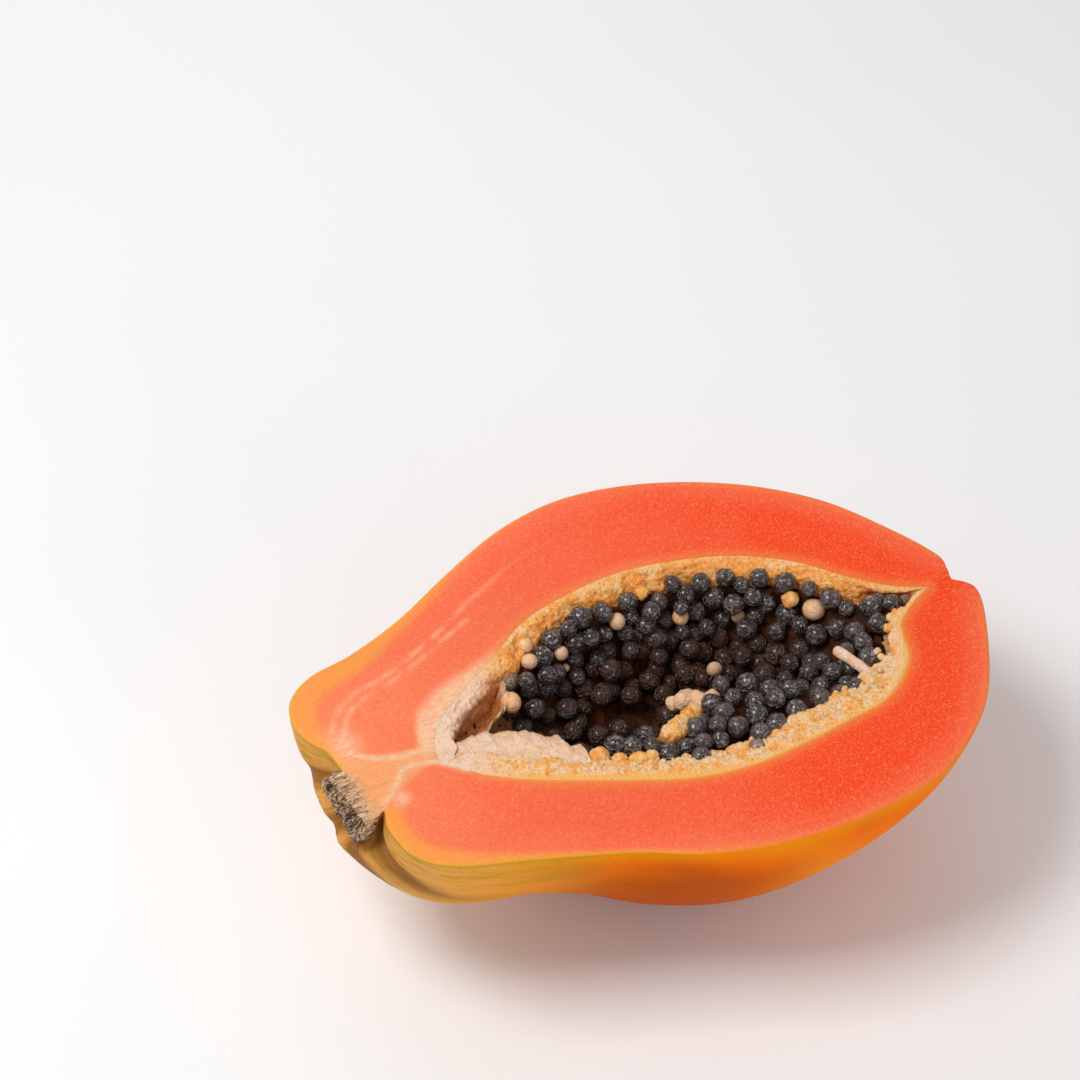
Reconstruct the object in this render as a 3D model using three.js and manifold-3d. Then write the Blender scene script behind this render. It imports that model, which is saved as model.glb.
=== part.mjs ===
// A papaya cut in half lengthwise, lying on its skin with the cut face up.
// Millimetres, +Z up. The fruit's axis runs along X, from the stem end at -X to the blossom end at +X.
// The cut face, the cavity and the belly are drawn in the fruit's own frame: x from the stem's foot,
// y across the cut face, z = 0 on the cut face. A group then sets the half on its rest.
import * as THREE from "three";
import { mergeVertices } from "three/addons/utils/BufferGeometryUtils.js";
import Module from "manifold-3d";

const wasm = await Module();
wasm.setup();

// Driving dimensions

// Three lengthwise profiles of the skin, from the stem to the blossom end: [x, distance from the axis].
// They have as many points each. A section's half widths come from the near and far one, and its depth
// from the under one.
const SKIN_FAR = [
  [0.5, 0], [-1.8, 7], [-3.2, 15], [-6.6, 21], [-8, 27.5], [-5.6, 34.6], [2, 39.7], [14, 42],
  [30, 47.6], [48, 56.8], [66, 64.6], [84, 67.7], [102, 65.3], [120, 58.8], [136, 49.6], [150, 37.4],
  [161, 22], [168, 9.5], [168.2, 3.5], [167.2, 0],
];
const SKIN_NEAR = [
  [0.5, 0], [2.6, 6.6], [1.5, 12], [2, 17], [3.6, 22.4], [8.2, 27.8], [16, 31.9], [28, 35.7],
  [42, 40.4], [56, 45.6], [70, 52.4], [86, 56.9], [102, 58.8], [119, 58.3], [134, 55.4], [148, 47.4],
  [159, 36], [168.6, 17.5], [172, 5.6], [167.2, 0],
];
const SKIN_UNDER = [
  [0.5, 0], [1.6, 7.5], [-3.2, 11.2], [-8.8, 13], [-7.2, 18.2], [-2.6, 26.2], [3.4, 34], [10, 38.6],
  [25.5, 39], [40.6, 45.2], [56.4, 55.2], [73, 62.7], [91.5, 62.7], [112.5, 54.4], [129.6, 37.8],
  [145.3, 21.4], [157, 12.6], [165.4, 5.4], [168.4, 2.2], [167.2, 0],
];
// The same three profiles for the wall of the seed cavity.
const CAVITY_FAR = [
  [21, 0], [22.5, 7], [27, 13], [36, 19.4], [47, 25.6], [59, 33.2], [73, 36.8], [88, 38],
  [103, 35.8], [118, 31], [132, 22.6], [143, 11.8], [151.5, 4.6], [160.3, 0],
];
const CAVITY_NEAR = [
  [21, 0], [25.4, 3.4], [31, 8.4], [41, 14.4], [52, 19.6], [64, 25], [77, 30.2], [91, 32.8],
  [106, 32.4], [121, 30.4], [134, 28], [144.6, 19.4], [149, 7.4], [160.3, 0],
];
const CAVITY_UNDER = [
  [21, 0], [24, 5.6], [31, 12], [41, 18], [52, 23.6], [64, 28.6], [77, 32.6], [91, 34],
  [104, 32], [117, 26.4], [129, 18.6], [139.5, 11], [149, 5.4], [160.3, 0],
];

const CUT = 0; // height of the cut face
const FLAT_SPOT_DEPTH = 0.8; // how much of the belly the rest presses flat
const GAP = 0.35; // clearance between two pieces that touch

// Skin relief: furrows fold into the stem hollow, and five soft ribs run the length.
// Each furrow is [angle in degrees, depth, half-width in degrees].
const FURROWS = [[36, 2, 8], [66, 0.8, 8], [98, 1.2, 9], [139, 1.2, 8]];
const FURROW_CENTRE = 3.4; // where the furrows are deepest, in profile points from the stem
const FURROW_SPREAD = 2;
const RIB_HEIGHT = 0.006; // as a share of the radius
const RIB_COUNT = 5;
const SKIN_RINGS = 38;
const SKIN_COLUMNS = 48;

// The dried stalk flares outward. Its profile runs from the root to the broken end: [x, radius].
const STALK = [
  [3.4, 0], [3.4, 5.6], [2, 6.2], [0.4, 7.4], [-1, 8.7], [-2.4, 9.7], [-4.6, 10.2], [-7.8, 10.4],
  [-8.5, 9.4], [-8.2, 4.6], [-8.4, 0],
];
const STALK_SIDE = -1.5; // how far it leans to the near side
// The torn end falls away outward from the cut face, then runs back under: X and Z where each of the
// two planes begins, and its slope in degrees.
const STALK_TEAR = [-4.4, 0, 52];
const STALK_UNDERCUT = [-7.7, -4.2, 61];
const STALK_COLUMNS = 36;
const STALK_RIBS = 9;
const STALK_RIB_HEIGHT = 0.4;

// The spongy lining that the seeds grow from. Its thickness changes from the rim down, as
// [degrees below the rim, mm]: a broad level lip on the near side, a narrow one on the far side.
const LINING_NEAR = [[0, 1], [2.5, 5.8], [6, 8.8], [10, 8.6], [17, 6], [27, 4], [40, 3], [90, 2.8]];
const LINING_FAR = [[0, 1], [3, 3], [8, 4.4], [14, 4.6], [22, 4], [32, 3.2], [45, 2.8], [90, 2.8]];
const LINING_TURN = [45, 135]; // degrees round the axis between which one gives way to the other
const RIM_DROP = 0.4; // how far the lining's edge lies below the cut face
const GRAIN_HEIGHT = 0.5;
const GRAIN_DEPTH = 9; // how far below the rim the grains fade, in degrees
const GRAIN_WAVES = [0.9, 0.37, 0.31]; // the first wave along X, then the second one along X and round it
const CAVITY_RINGS = 26;
const LINING_RINGS = 44;

// A flap of pale membrane grows from the near lip at the stem end, out over the cavity.
const FLAP_X = [24, 55];
const FLAP_ROOT = [-2.4, -0.52, 0.0018]; // Y of its root: start, slope and bend along X
const FLAP_EDGE = [3.6, 3.4, -16.5]; // Y of its free edge: start, slope and cubic bend along its length
const FLAP_LEAST = 1.5; // its least width
const FLAP_TOP = [-1.4, 0.9, -3.2]; // Z: at the root, the swell, and the fall to the edge
const FLAP_THICKNESS = 1.4;
const FLAP_CELLS = [12, 6];

// Degrees round the axis at which the cavity's surfaces have their edges, close together at the rims.
const QUARTER = [0, 3, 7, 13, 22, 34, 47, 61, 76];
const CAVITY_ANGLES = [...QUARTER, 90, ...QUARTER.map((a) => 180 - a).reverse()];
CAVITY_ANGLES.push(225, 270, 315);

// The seeds
const SEED_RADIUS = 3.05;
const SEED_COUNT = 200;
const SEED_TRIES = 9000;
const SEED_DRAW = 20260; // the random draw that places them
const SEED_ALONG = [0.2, 0.94]; // where they may lie along the cavity, as a share of its length
const SEED_ROUND = [6, 174]; // and round it, in degrees
const SEED_CROWD = 36; // a draw is kept the more often, the closer the cavity comes to this radius
const SEED_TURNS = [1.3, 2.1]; // how far each is turned from the one before, in radians
const SEED_SPACING = 5.2;
const SEED_START = [42, 52]; // the bed thickens between these distances along the axis
const SEED_SUNK = 0.25; // how far a seed's middle lies out of the bed, in seed radii
const BED_WALL = 3; // the bed that the seeds sit in
const BED_GAP = 0.9;
const BED_RINGS = 22;
const BED_TOP = -4.6;
const SEED_TOP = -0.9;
// Seeds pile up on the near side. The pile's top reaches this far in from the cavity wall: [x, mm].
const HEAP = [
  [21, 8], [48, 9.6], [60, 14.5], [75, 16.5], [87, 18.5], [96, 22], [105, 24], [114, 22.5],
  [122, 18.5], [132, 13.5], [142, 10.5], [160.3, 8],
];
const HEAP_SLOPE = [34, 72]; // its side falls to the floor between these degrees below the rim

// Helpers

const radians = THREE.MathUtils.degToRad;
const bell = (distance, spread) => Math.exp(-((distance / spread) ** 2));

// A repeatable random number generator.
function randomFrom(seed) {
  let state = seed;
  return () => {
    state = (state + 0x6d2b79f5) | 0;
    let mixed = Math.imul(state ^ (state >>> 15), 1 | state);
    mixed = (mixed + Math.imul(mixed ^ (mixed >>> 7), 61 | mixed)) ^ mixed;
    return ((mixed ^ (mixed >>> 14)) >>> 0) / 4294967296;
  };
}

const profile = (points) => new THREE.SplineCurve(points.map(([x, r]) => new THREE.Vector2(x, r)));

// Folds an angle round the axis to 0 at the near side, 90 under and 180 at the far side.
const fold = (angle) => (angle <= 180 ? angle : 360 - angle);

// A surface round the axis from three profiles, with sections of two half ellipses side by side.
function surfaceRound(near, under, far) {
  const [n, u, f] = [near, under, far].map(profile);
  return (along, angle) => {
    const cosine = Math.cos(radians(angle));
    const side = (cosine > 0 ? n : f).getPoint(along);
    const deep = u.getPoint(along);
    const x = THREE.MathUtils.lerp(deep.x, side.x, cosine * cosine);
    return new THREE.Vector3(x, -side.y * cosine, -deep.y * Math.sin(radians(angle)));
  };
}

// Scales a point's distance from the axis.
const widen = (point, factor) => point.set(point.x, point.y * factor, point.z * factor);

const evenAngles = (columns) => Array.from({ length: columns }, (_, j) => (360 * j) / columns);

// A closed mesh from point(along, angle), with one vertex at each end of the axis.
function closedMesh(point, rings, angles) {
  const columns = angles.length;
  const vertices = [];
  const faces = [];
  vertices.push(...point(0, 0).toArray());
  for (let i = 1; i < rings; i += 1)
    for (const angle of angles) vertices.push(...point(i / rings, angle).toArray());
  vertices.push(...point(1, 0).toArray());
  const last = vertices.length / 3 - 1;
  const at = (i, j) => 1 + (i - 1) * columns + (j % columns);
  for (let j = 0; j < columns; j += 1) {
    faces.push(0, at(1, j + 1), at(1, j));
    for (let i = 1; i < rings - 1; i += 1) {
      faces.push(at(i, j), at(i + 1, j + 1), at(i + 1, j));
      faces.push(at(i, j), at(i, j + 1), at(i + 1, j + 1));
    }
    faces.push(last, at(rings - 1, j), at(rings - 1, j + 1));
  }
  const geometry = new THREE.BufferGeometry();
  geometry.setAttribute("position", new THREE.Float32BufferAttribute(vertices, 3));
  geometry.setIndex(faces);
  return geometry;
}

// A closed sheet of even thickness along Z from point(u, v), with u and v from 0 to 1.
function sheet(point, across, along, thickness) {
  const vertices = [];
  const faces = [];
  const row = along + 1;
  const side = (across + 1) * row;
  for (const lift of [0, -thickness])
    for (let i = 0; i <= across; i += 1)
      for (let j = 0; j <= along; j += 1) {
        const p = point(i / across, j / along);
        vertices.push(p.x, p.y, p.z + lift);
      }
  const quad = (a, b, c, d) => faces.push(a, b, c, a, c, d);
  for (let i = 0; i < across; i += 1)
    for (let j = 0; j < along; j += 1) {
      const a = i * row + j;
      quad(a, a + row, a + row + 1, a + 1);
      quad(side + a, side + a + 1, side + a + row + 1, side + a + row);
    }
  const rim = [];
  for (let j = 0; j < along; j += 1) rim.push(j);
  for (let i = 0; i < across; i += 1) rim.push(i * row + along);
  for (let j = along; j > 0; j -= 1) rim.push(across * row + j);
  for (let i = across; i > 0; i -= 1) rim.push(i * row);
  rim.forEach((a, k) => {
    const b = rim[(k + 1) % rim.length];
    quad(a, b, side + b, side + a);
  });
  const geometry = new THREE.BufferGeometry();
  geometry.setAttribute("position", new THREE.Float32BufferAttribute(vertices, 3));
  geometry.setIndex(faces);
  return geometry;
}

// A geometry as a solid that booleans work on, and back.
function solid(geometry) {
  const bare = geometry.clone();
  bare.deleteAttribute("normal");
  bare.deleteAttribute("uv");
  const merged = mergeVertices(bare, 1e-4);
  const made = new wasm.Manifold(
    new wasm.Mesh({
      numProp: 3,
      vertProperties: new Float32Array(merged.attributes.position.array),
      triVerts: new Uint32Array(merged.index.array),
    }),
  );
  if (made.volume() < 0) throw new Error("a solid is inside out");
  return made;
}

function geometryOf(made) {
  const mesh = made.getMesh();
  const geometry = new THREE.BufferGeometry();
  geometry.setAttribute("position", new THREE.Float32BufferAttribute(mesh.vertProperties, 3));
  geometry.setIndex(new THREE.BufferAttribute(mesh.triVerts, 1));
  return geometry;
}

// A large block whose underside or top is at a height, for cutting with a level plane.
const BLOCK = 500;
const block = () => new THREE.BoxGeometry(BLOCK, BLOCK, BLOCK);
const blockAbove = (z) => solid(block().translate(0, 0, z + BLOCK / 2));
const blockBelow = (z) => solid(block().translate(0, 0, z - BLOCK / 2));

// The largest connected piece of a solid, so that no loose scrap is left.
const mainBody = (made) => made.decompose().reduce((a, b) => (b.volume() > a.volume() ? b : a));

// Skin

const skinSurface = surfaceRound(SKIN_NEAR, SKIN_UNDER, SKIN_FAR);

function skinPoint(along, angle) {
  const point = skinSurface(along, angle);
  const station = along * (SKIN_FAR.length - 1);
  const near = bell(station - FURROW_CENTRE, FURROW_SPREAD);
  for (const [at, depth, width] of FURROWS) {
    point.x += depth * near * bell(fold(angle) - at, width);
  }
  const turn = radians(fold(angle));
  const rib = Math.sin(Math.PI * along) * Math.sin(turn) ** 2 * Math.cos(RIB_COUNT * turn);
  return widen(point, 1 + RIB_HEIGHT * rib);
}

// Cavity and the surfaces inside it

const cavitySurface = surfaceRound(CAVITY_NEAR, CAVITY_UNDER, CAVITY_FAR);
const CAVITY_MIDDLE = (CAVITY_FAR[0][0] + CAVITY_FAR.at(-1)[0]) / 2;
const CAVITY_HALF = CAVITY_FAR.at(-1)[0] - CAVITY_MIDDLE;
const WIDEST = 0.55; // where the cavity is widest, as a share of its length
const fromAxis = (point) => Math.hypot(point.y, point.z);
const girth = (angle) => fromAxis(cavitySurface(WIDEST, angle));

// A surface inside the cavity wall. Each point moves in towards the middle by its inset.
function insideCavity(inset) {
  return (along, angle) => {
    const point = cavitySurface(along, angle);
    const depth = inset(point.x, angle);
    point.x = CAVITY_MIDDLE + (point.x - CAVITY_MIDDLE) * (1 - depth / CAVITY_HALF);
    return widen(point, 1 - depth / girth(angle));
  };
}

const fromRim = (angle) => Math.min(fold(angle), 180 - fold(angle));

// A straight-sided reading of a table of [place, value].
function read(table, place) {
  const next = table.findIndex(([at]) => at >= place);
  if (next <= 0) return table.at(next)[1];
  const [[from, low], [to, high]] = [table[next - 1], table[next]];
  return THREE.MathUtils.mapLinear(place, from, to, low, high);
}

// Thickness of the lining. It passes from the near table to the far one round the bottom.
function liningInset(angle) {
  const toFar = THREE.MathUtils.smoothstep(fold(angle), ...LINING_TURN);
  const below = fromRim(angle);
  return THREE.MathUtils.lerp(read(LINING_NEAR, below), read(LINING_FAR, below), toFar);
}

// Small grains on the lip, from crossed waves, and none where the seeds lie.
function grain(x, angle) {
  const [first, second, round] = GRAIN_WAVES;
  const waves = Math.sin(x * first) * Math.sin(x * second + angle * round);
  return GRAIN_HEIGHT * bell(fromRim(angle), GRAIN_DEPTH) * waves;
}

// How far in from the cavity wall the seeds' bed reaches.
function bedInset(x, angle) {
  const floor = liningInset(angle) + BED_WALL * THREE.MathUtils.smoothstep(x, ...SEED_START);
  const heaped = 1 - THREE.MathUtils.smoothstep(fold(angle), ...HEAP_SLOPE);
  return Math.max(floor, THREE.MathUtils.lerp(floor, read(HEAP, x), heaped));
}

// Pieces

// The stalk before it is torn, thicker by an amount where asked: round, with ribs where it stands out.
function wholeStalk(extra) {
  const point = (along, angle) => {
    const [x, radius] = STALK[Math.round(along * (STALK.length - 1))];
    const turn = radians(-angle);
    const ribs = x < 0 ? STALK_RIB_HEIGHT * Math.cos(STALK_RIBS * turn) : 0;
    const reach = radius > 0 ? radius + ribs + extra : 0;
    const y = reach * Math.cos(turn) + STALK_SIDE;
    return new THREE.Vector3(x + Math.sign(x) * extra, y, reach * Math.sin(turn));
  };
  return solid(closedMesh(point, STALK.length - 1, evenAngles(STALK_COLUMNS)));
}

function makeStalk() {
  const [tearX, tearZ, tearSlope] = STALK_TEAR;
  const above = block().translate(0, 0, BLOCK / 2).rotateY(-radians(tearSlope));
  const [underX, underZ, underSlope] = STALK_UNDERCUT;
  const below = block().translate(0, 0, -BLOCK / 2).rotateY(radians(underSlope));
  const torn = wholeStalk(0)
    .subtract(solid(above.translate(tearX, 0, tearZ)))
    .subtract(solid(below.translate(underX, 0, underZ)));
  return mainBody(torn.subtract(blockAbove(CUT)));
}

function makeFlesh() {
  const fruit = solid(closedMesh(skinPoint, SKIN_RINGS, evenAngles(SKIN_COLUMNS)));
  const cavity = solid(closedMesh(insideCavity(() => 0), CAVITY_RINGS, CAVITY_ANGLES));
  const half = fruit.subtract(blockAbove(CUT)).subtract(cavity).subtract(wholeStalk(GAP));
  const lowest = half.boundingBox().min[2];
  return mainBody(half.subtract(blockBelow(lowest + FLAT_SPOT_DEPTH)));
}

// The flap is a sheet from its root to its free edge, thicker by an amount on every side where asked.
function nearFlap(extra) {
  const point = (u, v) => {
    const x = THREE.MathUtils.lerp(...FLAP_X, u);
    const out = x - FLAP_X[0];
    const root = FLAP_ROOT[0] + FLAP_ROOT[1] * out + FLAP_ROOT[2] * out ** 2;
    const edge = Math.max(FLAP_EDGE[0] + FLAP_EDGE[1] * u + FLAP_EDGE[2] * u ** 3, root + FLAP_LEAST);
    const z = FLAP_TOP[0] + FLAP_TOP[1] * Math.sin(Math.PI * v) + FLAP_TOP[2] * v ** 2;
    return new THREE.Vector3(x, THREE.MathUtils.lerp(root, edge, v), z + extra);
  };
  return sheet(point, ...FLAP_CELLS, FLAP_THICKNESS + 2 * extra);
}

function makeLining() {
  const outer = solid(closedMesh(insideCavity(() => GAP), CAVITY_RINGS, CAVITY_ANGLES));
  const grained = insideCavity((x, angle) => liningInset(angle) - grain(x, angle));
  const inner = solid(closedMesh(grained, LINING_RINGS, CAVITY_ANGLES));
  const flap = solid(nearFlap(0)).intersect(outer);
  return mainBody(outer.subtract(inner).add(flap).subtract(blockAbove(-RIM_DROP)));
}

// A seed sits on the side of the bed towards the hollow, or on its level top where that is wide.
function seedCentre(along, angle, share) {
  const surface = bedInset(cavitySurface(along, angle).x, angle);
  const beside = Math.min(surface, liningInset(angle) + BED_GAP + SEED_RADIUS);
  const onTop = insideCavity(() => surface)(along, angle).z > BED_TOP;
  const level = THREE.MathUtils.lerp(beside, surface, share);
  const centre = insideCavity(() => (onTop ? level : surface + SEED_SUNK * SEED_RADIUS))(along, angle);
  if (onTop) centre.z = BED_TOP;
  centre.z = Math.min(centre.z, SEED_TOP - SEED_RADIUS);
  return centre;
}

// Draws places until the seeds are all placed, and drops each that would stand too close to another.
function seedCentres() {
  const random = randomFrom(SEED_DRAW);
  const centres = [];
  for (let tries = 0; tries < SEED_TRIES && centres.length < SEED_COUNT; tries += 1) {
    const along = THREE.MathUtils.lerp(...SEED_ALONG, random());
    const angle = THREE.MathUtils.lerp(...SEED_ROUND, random());
    const share = random();
    const wall = cavitySurface(along, angle);
    const dropped = random() * SEED_CROWD > fromAxis(wall);
    if (dropped || wall.x < SEED_START[1]) continue;
    const centre = seedCentre(along, angle, share);
    if (centres.every((other) => other.distanceTo(centre) > SEED_SPACING)) centres.push(centre);
  }
  return centres;
}

function makeSeed(centre, i) {
  const [aboutX, aboutZ] = SEED_TURNS;
  const seed = new THREE.IcosahedronGeometry(SEED_RADIUS, 0).rotateX(i * aboutX).rotateZ(i * aboutZ);
  return solid(seed.translate(...centre));
}

function makeSeeds() {
  const wall = insideCavity((x, angle) => liningInset(angle) + BED_GAP);
  const outer = solid(closedMesh(wall, BED_RINGS, CAVITY_ANGLES));
  const inner = solid(closedMesh(insideCavity(bedInset), BED_RINGS, CAVITY_ANGLES));
  const shell = outer.subtract(inner).subtract(blockAbove(BED_TOP));
  const heaped = wasm.Manifold.union([shell, ...seedCentres().map(makeSeed)]);
  const clear = heaped.intersect(outer).subtract(solid(nearFlap(GAP)));
  return mainBody(clear.subtract(blockAbove(SEED_TOP)));
}

// The model

const MATERIALS = {
  flesh: new THREE.MeshStandardMaterial({ color: 0xf4633a, roughness: 0.45, metalness: 0 }),
  lining: new THREE.MeshStandardMaterial({ color: 0xeda75e, roughness: 0.6, metalness: 0 }),
  seeds: new THREE.MeshStandardMaterial({ color: 0x26242a, roughness: 0.25, metalness: 0 }),
  stalk: new THREE.MeshStandardMaterial({ color: 0x6b4a33, roughness: 0.9, metalness: 0 }),
};

const pieces = { flesh: makeFlesh(), lining: makeLining(), seeds: makeSeeds(), stalk: makeStalk() };

const half = new THREE.Group();
for (const [name, made] of Object.entries(pieces)) {
  const mesh = new THREE.Mesh(geometryOf(made), MATERIALS[name]);
  mesh.name = name;
  half.add(mesh);
}

// The origin is under the middle of the half, on the surface that it rests on.
const box = new THREE.Box3().setFromObject(half);
const centre = box.getCenter(new THREE.Vector3());
half.position.set(-centre.x, -centre.y, -box.min.z);

const papaya = new THREE.Group();
papaya.add(half);

export default papaya;
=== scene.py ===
"""A papaya cut in half lengthwise, lying on its skin with the cut face up.

The fruit is drawn in its own frame, in millimetres: x along the axis from the stem's foot to the blossom
end, y across the cut face (minus is the near side), z up, with the cut face at z = 0. `Ground.place` moves
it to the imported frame. A surface round the axis takes two parameters: along, 0 at the stem end and 1 at the
blossom end, and the angle in degrees, 0 on the cut face's near side, 90 under the fruit and 180 on the cut
face's far side.
"""

import logging
from dataclasses import dataclass, field
from enum import Enum
from typing import Any

import bpy
import numpy as np
from mathutils import Matrix, Vector


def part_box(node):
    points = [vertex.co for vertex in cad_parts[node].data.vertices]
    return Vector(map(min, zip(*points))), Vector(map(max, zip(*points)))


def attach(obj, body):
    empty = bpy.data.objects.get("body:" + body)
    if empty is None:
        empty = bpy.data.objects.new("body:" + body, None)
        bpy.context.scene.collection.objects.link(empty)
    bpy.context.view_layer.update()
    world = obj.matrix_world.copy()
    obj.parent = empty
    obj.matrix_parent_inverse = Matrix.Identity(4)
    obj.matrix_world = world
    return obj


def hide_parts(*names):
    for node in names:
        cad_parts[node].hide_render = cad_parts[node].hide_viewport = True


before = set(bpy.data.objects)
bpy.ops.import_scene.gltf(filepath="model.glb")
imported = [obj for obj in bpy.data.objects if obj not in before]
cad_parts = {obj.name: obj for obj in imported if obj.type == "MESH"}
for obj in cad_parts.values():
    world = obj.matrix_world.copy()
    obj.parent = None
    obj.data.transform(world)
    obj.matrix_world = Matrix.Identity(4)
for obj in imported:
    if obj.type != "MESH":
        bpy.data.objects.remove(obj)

LOG = logging.getLogger("papaya")
MM = 0.001
Array = np.ndarray
Colour = tuple[float, float, float]


# Numbers and curves


def blend(low: Array | float, high: Array | float, share: Array | float) -> Array | float:
    """Return low + (high - low) * share."""
    return low + (high - low) * share


def ease(value: Array | float, start: float, end: float) -> Array:
    """Return 0 below start, 1 above end, and t * t * (3 - 2 t) between them."""
    t = np.clip((np.asarray(value, float) - start) / (end - start), 0, 1)
    return t * t * (3 - 2 * t)


def bell(distance: Array | float, spread: float) -> Array:
    """Return exp(-(distance / spread) ** 2)."""
    return np.exp(-((np.asarray(distance, float) / spread) ** 2))


def through(points: Array, share: Array) -> Array:
    """Read an even Catmull-Rom curve through points.

    Between p1 and p2 it is the cubic with end slopes (p2 - p0) / 2 and (p3 - p1) / 2.

    Args:
        points: the curve's points, one row each.
        share: places on the curve, 0 at its start and 1 at its end.

    Returns:
        The curve's point at each place.
    """
    points = np.asarray(points, float)
    last = len(points) - 1
    place = np.clip(share, 0, 1) * last
    start = np.minimum(place.astype(int), last - 1)
    t = (place - start)[..., None]
    p0, p1 = points[np.maximum(start - 1, 0)], points[start]
    p2, p3 = points[start + 1], points[np.minimum(start + 2, last)]
    s1, s2 = (p2 - p0) / 2, (p3 - p1) / 2
    return (2 * p1 - 2 * p2 + s1 + s2) * t**3 + (3 * p2 - 3 * p1 - 2 * s1 - s2) * t**2 + s1 * t + p1


def hashed(cell: Array, salt: int) -> Array:
    """Return a repeatable random number from 0 to 1 for each whole-number cell."""
    x, y, z = (cell[..., k].astype(np.int64) for k in range(3))
    n = (x * 374761393 + y * 668265263 + z * 2147483647 + salt * 974634777) & 0xFFFFFFFF
    n = ((n ^ (n >> 13)) * 1274126177) & 0xFFFFFFFF
    n = ((n ^ (n >> 16)) * 2246822519) & 0xFFFFFFFF
    return (n ^ (n >> 15)) / 0xFFFFFFFF


def noise(points: Array, size: float, salt: int = 0, layers: int = 2) -> Array:
    """Return smooth noise from about -1 to 1.

    It is random values at the corners of a lattice of cells, eased between the corners.

    Args:
        points: places, in mm.
        size: the cell size of the first layer, in mm. Each further layer has half the size and height.
        salt: picks another pattern.
        layers: how many layers are added.

    Returns:
        The noise at each place.
    """
    total = np.zeros(points.shape[:-1])
    for layer in range(layers):
        p = points * (2**layer / size) + 19.7 * layer
        base = np.floor(p)
        t = p - base
        t = t * t * (3 - 2 * t)
        value = 0.0
        for corner in np.ndindex(2, 2, 2):
            c = np.array(corner)
            weight = np.prod(np.where(c, t, 1 - t), axis=-1)
            value = value + weight * hashed(base + c, salt + layer)
        total += (2 * value - 1) / 2**layer
    return total


def granules(points: Array, size: float, salt: int = 0) -> Array:
    """Return the height of packed round grains, from 0 to 1.

    It is 1 - (distance to the nearest centre / size) ** 2, and 0 where that is negative.

    Args:
        points: places, in mm.
        size: the width of a grain, in mm. Each lattice cell of that size has one centre at random.
        salt: picks another pattern.

    Returns:
        The height at each place.
    """
    p = points / size
    base = np.floor(p)
    nearest = np.full(points.shape[:-1], 9.0)
    for step in np.ndindex(3, 3, 3):
        cell = base + (np.array(step) - 1)
        centre = cell + np.stack([hashed(cell, salt + k) for k in range(3)], axis=-1)
        nearest = np.minimum(nearest, np.sum((p - centre) ** 2, axis=-1))
    return np.clip(1 - nearest, 0, 1)


def unit_sphere(rows: int, columns: int) -> Array:
    """Return a grid of points (sin p cos t, sin p sin t, cos p), from pole to pole and round it."""
    down, around = np.linspace(0, np.pi, rows), np.linspace(0, 2 * np.pi, columns, endpoint=False)
    polar, turn = np.meshgrid(down, around, indexing="ij")
    return np.stack([np.sin(polar) * np.cos(turn), np.sin(polar) * np.sin(turn), np.cos(polar)], axis=-1)


def away_from(points: Array, line: Array) -> Array:
    """Return each point's distance from a line of straight stretches, measured across the cut face.

    Args:
        points: places, in mm, of which x and y are read.
        line: the line's points, one row of x and y each.

    Returns:
        The distances, in mm.
    """
    flat = points[..., :2].reshape(-1, 1, 2)
    start, step = line[:-1], np.diff(line, axis=0)
    length = np.maximum(np.sum(step**2, axis=1), 1e-9)
    t = np.clip(np.sum((flat - start) * step, axis=-1) / length, 0, 1)
    nearest = np.linalg.norm(flat - (start + t[..., None] * step), axis=-1).min(axis=1)
    return nearest.reshape(points.shape[:-1])


@dataclass(frozen=True)
class Ground:
    """Where the fruit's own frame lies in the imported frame."""

    x: float = -81.727
    y: float = -4.4

    def place(self, points: Array) -> Array:
        """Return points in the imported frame, in metres: (point + shift) * 0.001."""
        return np.asarray(points, float) * MM + np.array([self.x * MM, self.y * MM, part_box("flesh")[1].z])

    def held(self, points: Array) -> Array:
        """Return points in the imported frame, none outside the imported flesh's box."""
        return np.clip(self.place(points), *(np.array(corner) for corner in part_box("flesh")))

    def lowest(self) -> float:
        """Return the height of the rest below the cut face, in mm, a negative number."""
        return (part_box("flesh")[0].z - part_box("flesh")[1].z) / MM


GROUND = Ground()
INSIDE = (90, 0, -10)  # a place in the cavity, which inner normals turn to


# The fruit's surfaces


@dataclass(frozen=True)
class Outline:
    """A surface round the axis from three lengthwise profiles of [x, distance from the axis]."""

    near: tuple
    under: tuple
    far: tuple

    def points(self, along: Array, angle: Array) -> Array:
        """Return points whose sections are two half ellipses side by side.

        x is under.x + (side.x - under.x) * cos(angle) ** 2, y is -side.r * cos(angle) and z is -under.r *
        sin(angle), where side is the near or the far profile.
        """
        along, angle = np.broadcast_arrays(np.asarray(along, float), np.asarray(angle, float))
        turn = np.radians(angle)
        cosine = np.cos(turn)
        side = np.where(cosine[..., None] > 0, through(self.near, along), through(self.far, along))
        deep = through(self.under, along)
        x = blend(deep[..., 0], side[..., 0], cosine**2)
        return np.stack([x, -side[..., 1] * cosine, -deep[..., 1] * np.sin(turn)], axis=-1)


def girth(points: Array) -> Array:
    """Return each point's distance from the axis."""
    return np.hypot(points[..., 1], points[..., 2])


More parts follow.
